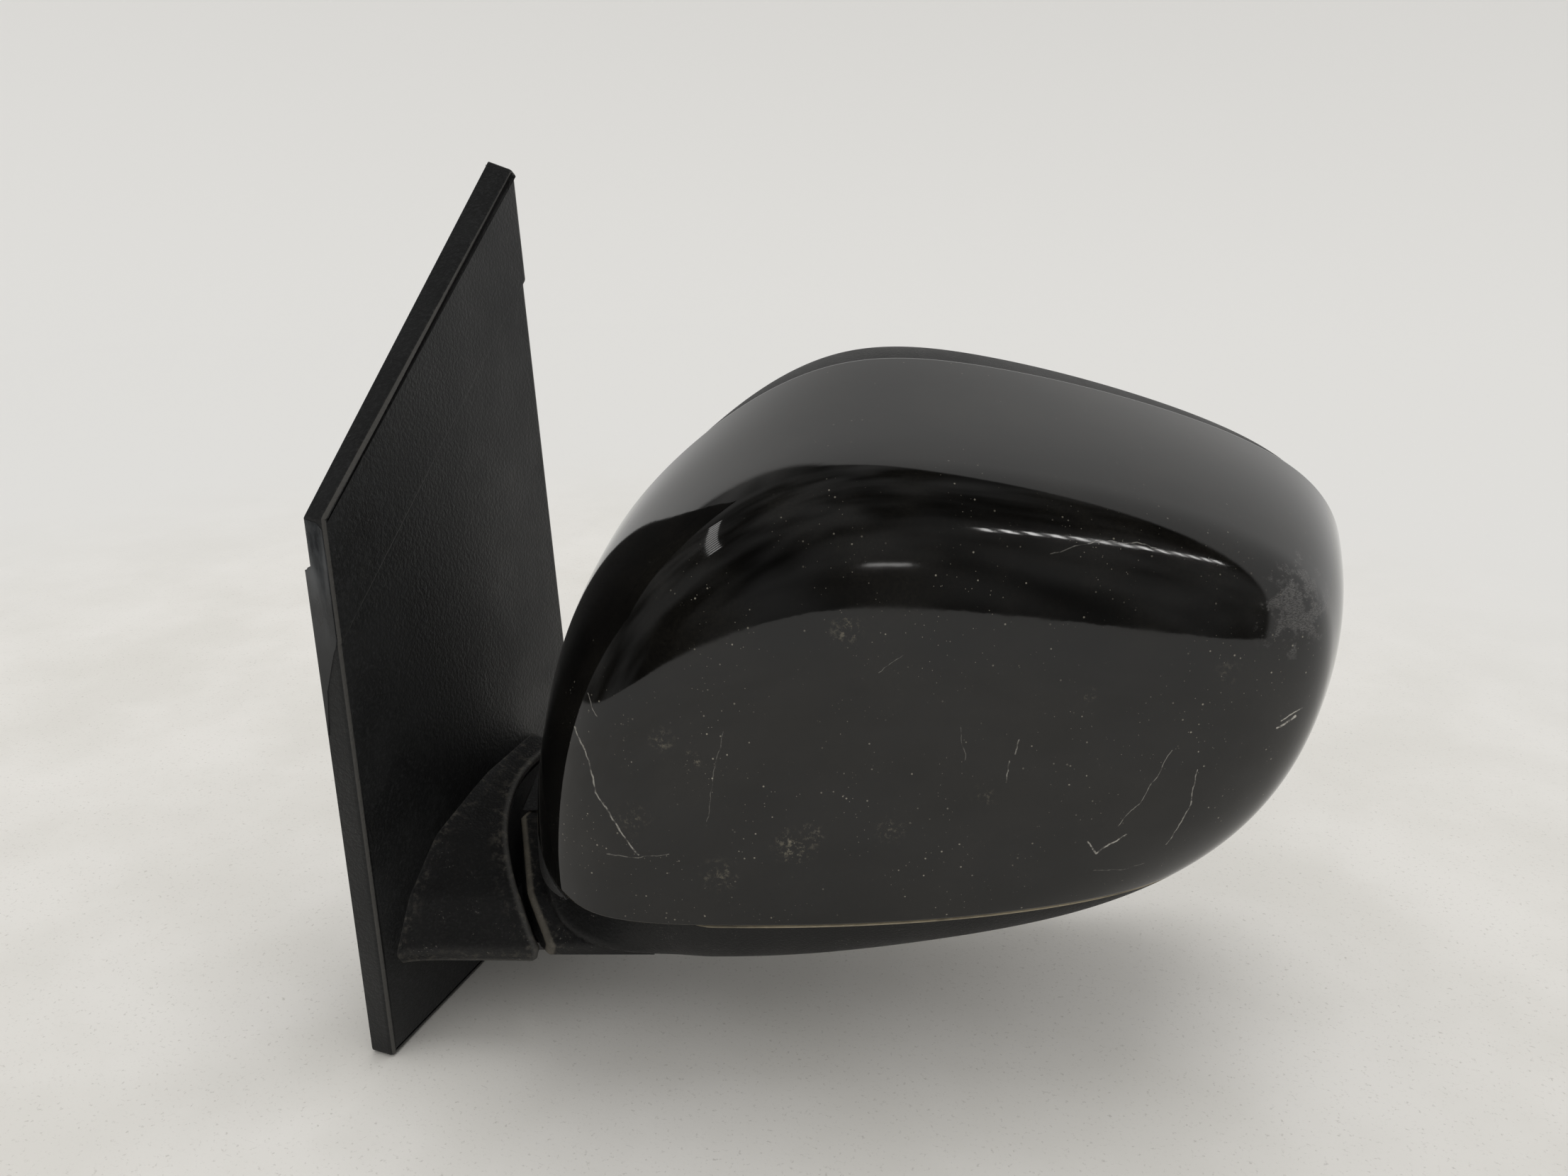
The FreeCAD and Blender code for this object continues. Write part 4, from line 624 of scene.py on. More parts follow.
def make_rear_housing():
    """Rear band, bezel and the wall round the glass as one closed shell, and the upper knuckle."""
    solid = Solid()

    def band_ring(w):
        return rear_ring(head_outline(head_place_at(w), FINE)[0])

    rows = []

    def row(flat, w, edge=20.0):
        rows.append((np.column_stack([flat[:, 0], np.broadcast_to(w, len(flat)), flat[:, 1]]), edge))

    seam_w = BAND_FRONT + SEAM
    outer = band_ring(seam_w)
    out = outline_normals(outer)
    row(outer - out * WALL, seam_w)
    row(outer - out * SEAM_ROUND, seam_w, 0.0)
    for bend in np.radians([30, 60, 90]):
        flat = outer - out * SEAM_ROUND * (1 - math.sin(bend))
        row(flat, seam_w + SEAM_ROUND * (1 - math.cos(bend)), 0.2)
    rim_start = HEAD_REAR - BAND_ROUND
    for w in np.linspace(seam_w + SEAM_ROUND, rim_start, 10)[1:]:
        row(band_ring(w), w, w - seam_w)
    rim = band_ring(rim_start)
    rim_out = outline_normals(rim)
    for bend in np.radians([15, 30, 45, 60, 75, 90]):
        row(rim - rim_out * BAND_ROUND * (1 - math.cos(bend)), rim_start + BAND_ROUND * math.sin(bend))
    face_start = rim - rim_out * BAND_ROUND
    opening = rear_ring(closed_curve(inset(GLASS_OUTLINE, *[-GLASS_GAP] * 4), FINE))
    opening_out = outline_normals(opening)
    face_end = opening + opening_out * OPENING_ROUND
    for share in np.linspace(0, 1, 16)[1:]:
        row(face_start + (face_end - face_start) * share, HEAD_REAR - FACE_DISH * share ** 2)
    low_face = HEAD_REAR - FACE_DISH
    for bend in np.radians([22.5, 45, 67.5, 90]):
        flat = opening + opening_out * OPENING_ROUND * (1 - math.sin(bend))
        row(flat, low_face - OPENING_ROUND * (1 - math.cos(bend)))
    for w in np.linspace(low_face - OPENING_ROUND, BEZEL_LIP + 0.5, 6)[1:]:
        row(opening, w)
    row(opening + opening_out * 0.5, BEZEL_LIP)
    row(opening + opening_out * COLLAR, BEZEL_LIP)
    row(opening + opening_out * COLLAR, low_face - WALL)
    row(rim - rim_out * (WALL + 1.0), HEAD_REAR - BAND_ROUND)
    grid = np.array([spots for spots, _ in rows])
    edges = [edge for _, edge in rows]
    around = np.roll(grid, -1, 1) - np.roll(grid, 1, 1)
    along = np.roll(grid, -1, 0) - np.roll(grid, 1, 0)
    normals = unit(np.cross(around, along))
    outward = (normals[BAND_ROW] * (grid[BAND_ROW] - grid[BAND_ROW].mean(0))).sum() > 0
    facing = 1 if outward else -1
    starts = [solid.add(r, n * facing, e) for r, n, e in zip(grid, normals, edges)]
    for lower, upper in zip(starts, starts[1:] + starts[:1]):
        solid.faces += [face[::facing] for face in strip_faces(REAR_COLUMNS, lower, upper)]

    grid, normals = head_grid(False)
    trims = [
        lambda p: BAND_FRONT - 2 * SEAM - p[:, 1],
        lambda p: -above_cap_line(p) - SEAM,
        lambda p: p[:, 2] - FLOOR_SEAM - SEAM,
        lambda p: KNUCKLE_START - 2 * SEAM - p[:, 0],
    ]
    trimmed_shell(solid, grid, normals, True, trims, 0.4, WALL)
    knuckle_half(solid, UPPER_KNUCKLE, UPPER_KNUCKLE_ROUNDS, 0.5)
    return solid.make("rear_shell", "head", HEAD_PLACE)


PANE_OUTLINE = closed_curve(GLASS_OUTLINE, 300)
PANE_MIDDLE = PANE_OUTLINE.mean(0)
PANE_BEND = 2000.0        # radius of the pane's face
PANE_THICK = 2.0
PANE_GRIND = 0.4
PANE_RISE = 1.2           # swell of the pane above the CAD pane's rear face


def pane_w(flat, level):
    """Height of the convex pane's face at (u, z) spots."""
    reach = np.linalg.norm(flat - PANE_MIDDLE, axis=1)
    return level + PANE_RISE - reach ** 2 / (2 * PANE_BEND)


def make_glass():
    """Slightly convex pane with ground edges."""
    solid = Solid()
    face_w = rearmost("mirror_glass")
    out = outline_normals(PANE_OUTLINE)
    ground = PANE_OUTLINE - out * PANE_GRIND
    rows = []
    for share in np.linspace(0.05, 1, 20):
        flat = PANE_MIDDLE + (ground - PANE_MIDDLE) * share
        lean = (flat - PANE_MIDDLE) / PANE_BEND
        normals = np.column_stack([lean[:, 0], np.ones(len(flat)), lean[:, 1]])
        rows.append((flat, pane_w(flat, face_w), normals))
    side = np.column_stack([out[:, 0], np.zeros(len(out)), out[:, 1]])
    for drop in (PANE_GRIND, PANE_THICK - PANE_GRIND):
        rows.append((PANE_OUTLINE, pane_w(PANE_OUTLINE, face_w) - drop, side))
    rows.append((ground, pane_w(ground, face_w) - PANE_THICK, (0, -1.0, 0)))
    starts = [solid.add(np.column_stack([f[:, 0], w, f[:, 1]]), n) for f, w, n in rows]
    count = len(PANE_OUTLINE)
    for lower, upper in zip(starts, starts[1:]):
        solid.faces += [face[::-1] for face in strip_faces(count, lower, upper)]
    u, z = PANE_MIDDLE
    top = face_w + PANE_RISE
    solid.fan(starts[0], count, (u, top, z), (0, 1, 0), False)
    solid.fan(starts[-1], count, (u, top - PANE_THICK, z), (0, -1, 0), True)
    return solid.make("mirror_pane", "glass", HEAD_PLACE)


def rearmost(node):
    """Largest w of a CAD node."""
    back = HEAD_PLACE.inverted()
    return max((back @ vert.co).y for vert in frame["nodes"][node].data.vertices) / MM


# ---------------------------------------------------------------- sail plate and arm

PLATE_LOW, PLATE_HIGH = [np.array(corner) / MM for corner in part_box("sail_cover")]
PLATE_FACE = 8.0
PLATE_PEAK_Y = 42.0
PLATE_SHOULDER = 81.0
PLATE_ROUND = 1.5
PLATE_WALL = 2.4
CREASE_REAR = np.array([43.6, 131.6])
CREASE_FRONT = np.array([-61.8, 43.8])
CREASE_STEP = 1.1
CREASE_WIDTH = 0.9
NOTCH_Z = 67.0            # step in the rear edge of the front wall
NOTCH_DEPTH = 2.2
NOTCH_RAMP = 1.4
DOOR_BEVEL = 0.3
TIP_LENGTH = 4.0
TIP_RISE = 2.4            # how much higher the tip stands at the door side

FLANGE_PROUD = 0.22
# Smooth flange over the upper part of the plate's front wall, (x, z).
FLANGE = [
    (2.6, 80.2), (6.4, 79.6), (7.5, 77.6), (7.7, 70), (7.7, 46), (7.2, 43.8), (6.4, 42.4),
    (2.4, 30), (0.5, 16), (0.5, 65.4), (1.4, 66.6), (2.6, 67.2),
]


def rounded_polygon(corners, radii, steps=7):
    """Closed outline of a polygon whose corners are turned into arcs."""
    points = []
    count = len(corners)
    for k in range(count):
        before, corner, after = (np.array(corners[(k + d) % count], float) for d in (-1, 0, 1))
        a, b = unit(before - corner), unit(after - corner)
        half = math.acos(np.clip(a @ b, -1, 1)) / 2
        reach = radii[k] / math.tan(half)
        middle = corner + unit(a + b) * radii[k] / math.sin(half)
        start, end = corner + a * reach - middle, corner + b * reach - middle
        for share in np.linspace(0, 1, steps):
            points.append(middle + unit(start + (end - start) * share) * radii[k])
    return np.array(points)


def crease_height(y, z):
    """How far the band above the crease stands proud."""
    along = CREASE_REAR - CREASE_FRONT
    away = (along[0] * (z - CREASE_FRONT[1]) - along[1] * (y - CREASE_FRONT[0])) / np.linalg.norm(along)
    taper = np.clip((y - CREASE_FRONT[0]) / along[0], 0, 1)
    return CREASE_STEP * (0.15 + 0.85 * taper) * smooth_step(away / CREASE_WIDTH + 0.5)


def make_plate():
    """Triangular plate: a tray with a rounded outer edge and a crease across its face."""
    corners = [
        (PLATE_LOW[1], PLATE_LOW[2]),
        (PLATE_HIGH[1], PLATE_LOW[2]),
        (PLATE_PEAK_Y, PLATE_HIGH[2]),
        (PLATE_LOW[1], PLATE_SHOULDER),
    ]
    flat = rounded_polygon(corners, [2.0, 2.0, 0.9, 1.2])
    out = outline_normals(flat)
    # Each ring of the tray: how far it stands in, its x, and whether it is a worn edge.
    rings = [(PLATE_WALL, PLATE_FACE - PLATE_WALL, False), (PLATE_WALL, 0.0, False)]
    rings += [(DOOR_BEVEL, 0.0, False), (0.0, DOOR_BEVEL, False)]
    for bend in np.radians([0, 22.5, 45, 67.5, 90]):
        drawn = PLATE_ROUND * (1 - math.cos(bend))
        rings.append((drawn, PLATE_FACE - PLATE_ROUND * (1 - math.sin(bend)), bend > math.radians(30)))
    rings += [(PLATE_ROUND + 0.5, PLATE_FACE, False), (PLATE_ROUND + 1.0, PLATE_FACE, False)]
    work = bmesh.new()
    edge = work.verts.layers.float.new("edge")
    rows = []
    for drawn, x, wear_and_sheen in rings:
        rows.append([work.verts.new((x, y, z)) for y, z in flat - out * drawn])
        for vert in rows[-1]:
            vert[edge] = 0.2 if wear_and_sheen else 9.0
    count = len(flat)
    for lower, upper in zip(rows, rows[1:]):
        for k in range(count):
            m = (k + 1) % count
            work.faces.new((lower[k], lower[m], upper[m], upper[k]))
    work.faces.new(rows[-1])
    work.faces.new(rows[0][::-1])
    along = unit(CREASE_REAR - CREASE_FRONT)
    across = Vector((0, -along[1], along[0]))
    crease = Vector((0, *CREASE_FRONT))
    cuts = [(crease + across * shift, across) for shift in (-0.45, -0.25, 0.0, 0.25, 0.45, 1.2)]
    cuts += [((0, 0, NOTCH_Z - drop), (0, 0, 1)) for drop in (NOTCH_RAMP, NOTCH_RAMP / 2, 0)]
    for spot, normal in cuts:
        geometry = work.verts[:] + work.edges[:] + work.faces[:]
        bmesh.ops.bisect_plane(work, geom=geometry, plane_co=spot, plane_no=normal, dist=1e-5)
    for vert in work.verts:
        x, y, z = vert.co
        rise = min(max((z - NOTCH_Z + NOTCH_RAMP) / NOTCH_RAMP, 0), 1)
        back = min(max((-y - 20) / 30, 0), 1)
        if x < 1:
            vert.co.x = x + NOTCH_DEPTH * rise ** 0.5 * back
        if z > PLATE_HIGH[2] - TIP_LENGTH:
            vert.co.z += TIP_RISE * (1 - x / PLATE_FACE)
        share = np.clip((x - (PLATE_FACE - PLATE_ROUND)) / PLATE_ROUND, 0, 1)
        vert.co.x += float(crease_height(y, z) * share)
    bmesh.ops.recalc_face_normals(work, faces=work.faces[:])
    for vert in work.verts:
        vert.co *= MM
    mesh = bpy.data.meshes.new("sail_plate")
    work.to_mesh(mesh)
    work.free()
    piece = smooth_piece("sail_plate", mesh)
    weighted = piece.modifiers.new("even_normals", "WEIGHTED_NORMAL")
    weighted.weight = 80
    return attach(piece, "base")


def make_flange():
    """Thin smooth strip on the front wall of the plate."""
    solid = Solid()
    flat = np.array(FLANGE, float)[::-1]
    out = outline_normals(flat)
    front = PLATE_LOW[1]
    count = len(flat)
    rows = []
    for drawn, y in ((0.0, front + 1.0), (0.0, front - 0.10), (0.15, front - FLANGE_PROUD)):
        shape = flat - out * drawn
        rows.append(solid.add(np.column_stack([shape[:, 0], np.full(count, y), shape[:, 1]]), (0, -1.0, 0)))
    for lower, upper in zip(rows, rows[1:]):
        solid.faces += strip_faces(count, lower, upper)
    solid.faces.append(list(range(rows[-1], rows[-1] + count)))
    solid.faces.append(list(range(rows[0], rows[0] + count))[::-1])
    return solid.make("plate_flange", "base", ROW_PLACE, False)


ARM_ROUNDS = (3.0, 9.0, 14.0, 14.0, 6.0, 5.0)
ARM_COLUMNS = 150
ARM_FLARE = 2.6           # spread of the arm where it meets the plate
ARM_START = PLATE_FACE - PLATE_WALL + 0.6


def arm_section(points):
    """Open profile of the arm over its sides and back, with its corners rounded."""
    corners = [np.array(p, float) for p in points]
    found = [corners[0]]
    for before, corner, after, radius in zip(corners, corners[1:], corners[2:], ARM_ROUNDS):
        a, b = unit(before - corner), unit(after - corner)
        half = math.acos(np.clip(a @ b, -1, 1)) / 2
        room = min(np.linalg.norm(before - corner), np.linalg.norm(after - corner))
        reach = min(radius / math.tan(half), 0.45 * room)
        start, end = corner + a * reach, corner + b * reach
        for share in np.linspace(0, 1, 9):
            first = start + (corner - start) * share
            second = corner + (end - corner) * share
            found.append(first + (second - first) * share)
    found.append(corners[-1])
    return even_steps(found, ARM_COLUMNS)


def head_to_row(spots):
    turn = np.array(HEAD_PLACE.to_3x3())
    return np.asarray(spots) @ turn.T + np.array(FOLD_SPOT) / MM


def make_arm():
    """Arm shroud between the plate and the joint: a loft cut by the joint's cylinder."""
    near = np.column_stack([np.full(ARM_COLUMNS, ARM_START), arm_section(ARM_AT_PLATE)])
    far = head_to_row(np.column_stack([np.full(ARM_COLUMNS, ARM_JOINT_U), arm_section(ARM_AT_JOINT)]))
    rows = []
    for share in np.linspace(0, 1.08, 60):
        flare = ARM_FLARE * math.exp(-share * 16)
        spread = near + (far - near) * share
        middle = spread.mean(0)
        rows.append(spread + unit(spread - middle) * flare)
    grid = np.array(rows)
    around = np.gradient(grid, axis=1)
    along = np.gradient(grid, axis=0)
    normals = unit(np.cross(around, along))
    if (normals * (grid - grid.mean((0, 1)))).sum() < 0:
        normals = -normals
        grid, normals = grid[:, ::-1], normals[:, ::-1]
    pivot = np.array(FOLD_SPOT)[:2] / MM
    solid = Solid()
    trims = [
        lambda p: np.hypot(*(p[:, :2] - pivot).T) - CUP_RADIUS,
        lambda p: p[:, 0] - (ARM_START + 0.2),
        lambda p: p[:, 2] - ARM_BOTTOM,
    ]
    trimmed_shell(solid, grid, normals, False, trims, 1.0, PLATE_WALL)
    return solid.make("arm_shroud", "base", ROW_PLACE)


# ---------------------------------------------------------------- materials

class Nodes:
    """Short calls that add shader nodes to a tree; textures are read at self.place."""

    def __init__(self, tree, coordinates):
        self.tree = tree
        self.tree.nodes.clear()
        self.place = self.node("TexCoord", output=coordinates)

    def put(self, socket, value):
        if isinstance(value, bpy.types.NodeSocket):
            self.tree.links.new(value, socket)
        elif isinstance(value, (tuple, list)) and len(value) == 3 and socket.type == "RGBA":
            socket.default_value = (*value, 1.0)
        else:
            socket.default_value = value

    def node(self, kind, inputs=None, output=0, **settings):
        """Add a node with its settings and inputs, and give back one of its outputs."""
        node = self.tree.nodes.new("ShaderNode" + kind)
        for name, value in settings.items():
            setattr(node, name, value)
        for key, value in (inputs or {}).items():
            self.put(node.inputs[key], value)
        return node.outputs[output]

    def noise(self, size, detail=3.0, rough=0.5, place=None, output="Fac"):
        """Noise whose features are about size millimetres across."""
        inputs = {"Vector": place or self.place, "Scale": 1 / (size * MM)}
        return self.node("TexNoise", {**inputs, "Detail": detail, "Roughness": rough}, output)

    def cells(self, size, place=None):
        """Distance to scattered points about size millimetres apart, as a share of size."""
        return self.node("TexVoronoi", {"Vector": place or self.place, "Scale": 1 / (size * MM)}, "Distance")

    def waves(self, scale, distortion=0.0):
        return self.node("TexWave", {"Vector": self.place, "Scale": scale, "Distortion": distortion}, "Fac")

    def stretch(self, scale, turn=(0, 0, 0)):
        return self.node("Mapping", {"Vector": self.place, "Scale": scale, "Rotation": turn})

    def math(self, kind, a, b=0.0):
        return self.node("Math", {0: a, 1: b}, operation=kind)

    def product(self, first, *others):
        for other in others:
            first = self.math("MULTIPLY", first, other)
        return first

    def span(self, value, low, high, start=0.0, end=1.0):
        """Value taken smoothly from start to end as it goes from low to high."""
        inputs = {"Value": value, "From Min": low, "From Max": high, "To Min": start, "To Max": end}
        return self.node("MapRange", inputs, interpolation_type="SMOOTHSTEP")

    def mix(self, share, a, b):
        return self.node("Mix", {0: share, 6: a, 7: b}, 2, data_type="RGBA")

    def attribute(self, name):
        return self.node("Attribute", output="Fac", attribute_name=name)

    def axis(self, letter):
        return self.node("SeparateXYZ", {0: self.place}, letter)

    def vector(self, kind, a, b=(0, 0, 0), output=0):
        return self.node("VectorMath", {0: a, 1: b}, output, operation=kind)

    def dot(self, a, b):
        return self.vector("DOT_PRODUCT", a, b, "Value")

    def bump(self, height, depth, strength=1.0):
        """Bump whose height of 1 stands for depth millimetres."""
        return self.node("Bump", {"Strength": strength, "Distance": depth * MM, "Height": height})


class Shader(Nodes):
    """The nodes of one material, which read object coordinates."""

    def __init__(self, name):
        self.material = bpy.data.materials.new(name)
        self.material.use_nodes = True
        super().__init__(self.material.node_tree, "Object")
        self.surface = self.tree.nodes.new("ShaderNodeBsdfPrincipled")
        output = self.tree.nodes.new("ShaderNodeOutputMaterial")
        self.put(output.inputs["Surface"], self.surface.outputs[0])

    def set(self, **values):
        """Set inputs of the surface by name, with underscores for spaces."""
        for name, value in values.items():
            self.put(self.surface.inputs[name.replace("_", " ")], value)
        return self.material

    def head_frame(self):
        """Coordinates in the head's frame."""
        inputs = {"Vector": self.place, "Location": FOLD_SPOT, "Rotation": (0, 0, HEAD_YAW)}
        return self.node("Mapping", inputs, vector_type="TEXTURE")

    def flat_distance(self, u, z):
        """Distance from a line that runs front to rear through a spot given in millimetres."""
        flat = self.vector("MULTIPLY", self.place, (1, 0, 1))
        return self.vector("DISTANCE", flat, (u * MM, 0, z * MM), "Value")

    def wandering(self, reach):
        """The place, shaken by up to about reach millimetres."""
        less = self.vector("SUBTRACT", self.noise(7, output="Color"), (0.5, 0.5, 0.5))
        return self.vector("ADD", self.place, self.vector("MULTIPLY", less, (reach * 4 * MM,) * 3))

    def stroke(self, start, end, width, place):
        """Mask of a mark along a line between two (u, z) spots, in millimetres."""
        start = Vector((start[0], 0, start[1])) * MM
        run = Vector((end[0], 0, end[1])) * MM - start
        flat = self.vector("MULTIPLY", self.vector("SUBTRACT", place, start), (1, 0, 1))
        along = self.math("DIVIDE", self.dot(flat, run), run.length_squared)
        share = self.node("Clamp", {"Value": along})
        spot = self.node("VectorMath", {0: run, "Scale": share}, operation="SCALE")
        away = self.vector("DISTANCE", flat, spot, "Value")
        return self.span(away, width * MM * 0.35, width * MM * 0.65, 1.0, 0.0)


# Scratches of the cap: (width, strength, points along it as (u, z)).
SCRATCHES = [
    (0.45, 0.50, [(-28, 20), (-24, 12), (-22, 3), (-18, -5), (-11, -16)]),
    (0.30, 0.30, [(-24, 31), (-21, 26)]),
    (0.25, 0.16, [(14, 24), (11, 10), (9, -4)]),
    (0.30, 0.22, [(-20, -16), (-11, -17), (-2, -15)]),
    (0.30, 0.40, [(92, 16), (91.5, 9)]),
    (0.30, 0.35, [(94, 22), (93.5, 18)]),
    (0.25, 0.35, [(137, 18), (131, 5), (124, -6)]),
    (0.30, 0.45, [(145, 11), (144.5, 0), (139, -14)]),
    (0.45, 0.70, [(116, -11), (119, -15), (127, -9)]),
    (0.25, 0.20, [(134, -20), (127, -22), (119, -21)]),
    (0.70, 0.85, [(167, 22), (173, 24)]),
    (0.40, 0.70, [(168, 24.2), (175, 26)]),
    (0.22, 0.20, [(56, 42), (62, 47)]),
    (0.22, 0.22, [(100, 73), (112, 76), (124, 75), (132, 72)]),
    (0.22, 0.20, [(78, 26), (80, 16)]),
]
# Clusters of dried dirt: (u, z, reach, strength).
DIRT_SPOTS = [
    (5, 15, 4, 1.0), (33, -12, 8, 0.8), (38, -8, 5, 0.7), (47, 54, 6, 0.6), (-3, 21, 5, 0.5),
    (60, -6, 6, 0.35), (112, 35, 3, 0.5), (-12, -4, 7, 0.35), (86, 5, 5, 0.25), (12, -22, 8, 0.4),
    (150, 40, 5, 0.25),
]
SCUFF = (170, 55)
# Pale tan seam colour: dust in the seam and also a painted highlight along the cap's lower edge and the lower
# shell's seam.
SEAM_DUST_AND_HIGHLIGHT = (0.34, 0.295, 0.21)


def cap_marks(s, front):
    """Masks of the cap's dirt, scratches and scuffed shoulder."""
    flake = s.span(s.noise(1.8, 5, 0.75), 0.50, 0.68)
    dirt = 0.0
    for u, z, reach, strength in DIRT_SPOTS:
        dirt = s.math("MAXIMUM", dirt, s.span(s.flat_distance(u, z), 0.0, reach * MM, strength, 0.0))
    wander = s.wandering(0.7)
    marks = 0.0
    for width, strength, points in SCRATCHES:
        for a, b in zip(points, points[1:]):
            marks = s.math("MAXIMUM", marks, s.product(s.stroke(a, b, width, wander), strength))
    broken = s.span(s.noise(2.2, 3, 0.7), 0.36, 0.60, 0.1, 1.0)
    marks = s.product(marks, broken, s.span(s.axis("Y"), -0.03, -0.02, 1.0, 0.0))
    ragged = s.span(s.noise(5, 3, 0.7), 0.35, 0.65, -0.006, 0.006)
    scuff = s.span(s.math("ADD", s.flat_distance(*SCUFF), ragged), 0.003, 0.010, 1.0, 0.0)
    hatch = s.span(s.noise(0.8, 3, 0.7, s.stretch((1, 1, 7), (0, 0.5, 0))), 0.42, 0.58)
    return s.product(dirt, flake, front), marks, s.product(scuff, hatch)


def gloss_paint():
    """Black lacquer with a film of dust, specks, dried dirt, scratches and a scuffed shoulder."""
    s = Shader("gloss_paint")
    s.place = s.head_frame()
    film = s.span(s.noise(34, 4, 0.6), 0.35, 0.75)
    front = s.span(s.axis("Y"), -0.056, -0.036, 1.0, 0.25)
    sparse = s.span(s.noise(22, 3, 0.6), 0.42, 0.62)
    specks = s.span(s.cells(3.4), 0.05, 0.10, 1.0, 0.0)
    small = s.span(s.cells(1.7, s.stretch((1, 1, 1), (0.4, 0.2, 0.1))), 0.06, 0.10, 1.0, 0.0)
    specks = s.product(s.math("MAXIMUM", specks, s.product(small, 0.6)), sparse, front)
    dirt, marks, scuff = cap_marks(s, front)
    # Pale tan line along the cap's lower edge, stronger low down: dust in the seam and a painted highlight
    # along it.
    rim = s.product(s.span(s.attribute("edge"), 0.5, 1.3, 1.0, 0.0), s.span(sparse, 0.0, 1.0, 0.35, 1.0))
    rim = s.product(rim, s.span(s.axis("Z"), -0.02, 0.0, 1.0, 0.1))
    hazy = s.product(film, s.span(s.noise(0.9, 2, 0.6), 0.3, 0.7, 0.4, 1.0))
    tone = s.mix(s.product(hazy, 0.4), (0.0022, 0.0021, 0.0019), (0.018, 0.016, 0.0125))
    tone = s.mix(s.product(specks, 0.8), tone, (0.30, 0.28, 0.23))
    tone = s.mix(s.product(dirt, 0.75), tone, (0.30, 0.27, 0.20))
    tone = s.mix(s.product(scuff, 0.5), tone, (0.16, 0.155, 0.15))
    tone = s.mix(s.product(rim, 0.9), tone, SEAM_DUST_AND_HIGHLIGHT)
    tone = s.mix(marks, tone, (0.50, 0.48, 0.43))
    dull = s.math("MAXIMUM", s.math("MAXIMUM", marks, dirt), s.product(scuff, 0.8))
    rough = s.math("ADD", s.product(film, 0.05), 0.035)
    height = s.math("ADD", s.noise(6, 2, 0.5), s.product(marks, -0.5))
    rough = s.math("ADD", rough, s.product(dull, 0.5))
    return s.set(Base_Color=tone, IOR=1.5, Roughness=rough, Normal=s.bump(height, 0.02, 0.6))


def textured_plastic(name, dark, dust, edge_wear, grain=0.85, shine=(0.42, 0.60), density=1.38, ledge_dust_and_highlight=False):
    """Black moulded plastic with a pebble grain, dust in the hollows and paler edges from wear; on a ledge,
    pale tan seam dust that is also a painted highlight along the seam.
    """
    s = Shader(name)
    if ledge_dust_and_highlight:
        s.place = s.head_frame()
    pebbles = s.noise(grain, 2.5, 0.62)
    broad = s.noise(26, 3, 0.6)
    edge = s.attribute("edge")
    fleck = s.span(s.noise(0.7, 2, 0.7), 0.64, 0.72)
    sparse = s.span(s.noise(9, 3, 0.6), 0.50, 0.70)
    tone = s.mix(s.span(broad, 0.35, 0.7), dark, [c * 1.55 for c in dark])
    tone = s.mix(s.span(pebbles, 0.50, 0.66, 0.0, 0.8), tone, [c * 2.6 for c in dark])
    tone = s.mix(s.product(fleck, sparse, dust), tone, (0.32, 0.30, 0.27))
    if edge_wear:
        tone = s.mix(s.product(s.span(edge, 0.0, 1.4, 1.0, 0.0), edge_wear), tone, (0.10, 0.096, 0.088))
        rub = s.product(s.span(edge, 1.0, 7.0, 1.0, 0.0), s.span(s.noise(2.5, 4, 0.7), 0.50, 0.66))
        tone = s.mix(s.product(rub, dust * 0.5), tone, (0.14, 0.125, 0.10))
    # Pale tan band along the lower shell's seam edges, weaker toward the knuckle: dust and a painted
    # highlight.
    if ledge_dust_and_highlight:
        seam_dust_and_highlight = s.product(s.span(edge, 0.4, 1.6, 1.0, 0.0), s.span(s.noise(15, 3, 0.6), 0.3, 0.6, 0.4, 1.0))
        seam_dust_and_highlight = s.product(seam_dust_and_highlight, s.span(s.axis("X"), -0.035, 0.0, 0.15, 1.0))
        tone = s.mix(seam_dust_and_highlight, tone, SEAM_DUST_AND_HIGHLIGHT)
    rough = s.span(s.math("ADD", broad, s.product(pebbles, 0.6)), 0.5, 1.1, *shine)
    return s.set(Base_Color=tone, IOR=density, Roughness=rough, Normal=s.bump(pebbles, 0.30, 0.9))


def patchy(name, broad, reach, tones, fine, shine, bump, density=1.5):
    """Plain stuff in two tones, with broad patches and a fine grain."""
    s = Shader(name)
    grain = s.noise(*fine)
    tone = s.mix(s.span(s.noise(*broad), *reach), *tones)
    rough = s.span(grain, 0.3, 0.7, *shine)
    return s.set(Base_Color=tone, IOR=density, Roughness=rough, Normal=s.bump(grain, *bump))


def nylon():
    tones = (0.030, 0.030, 0.031), (0.0405, 0.0405, 0.04185)
    grain = (0.35, 2, 0.6)
    return patchy("filled_nylon", (18, 3, 0.6), (0.3, 0.7), tones, grain, (0.45, 0.58), (0.03, 0.5), 1.48)


def cast_black():
    tones = (0.016, 0.016, 0.017), (0.034, 0.033, 0.032)
    return patchy("cast_black", (16, 3, 0.6), (0.35, 0.7), tones, (0.7, 3, 0.65), (0.45, 0.62), (0.10, 0.6))


def rubber():
    tones = (0.012, 0.012, 0.012), (0.05, 0.049, 0.047)
    return patchy("rubber", (5, 4, 0.7), (0.4, 0.75), tones, (0.4, 2, 0.6), (0.6, 0.8), (0.04, 0.5))


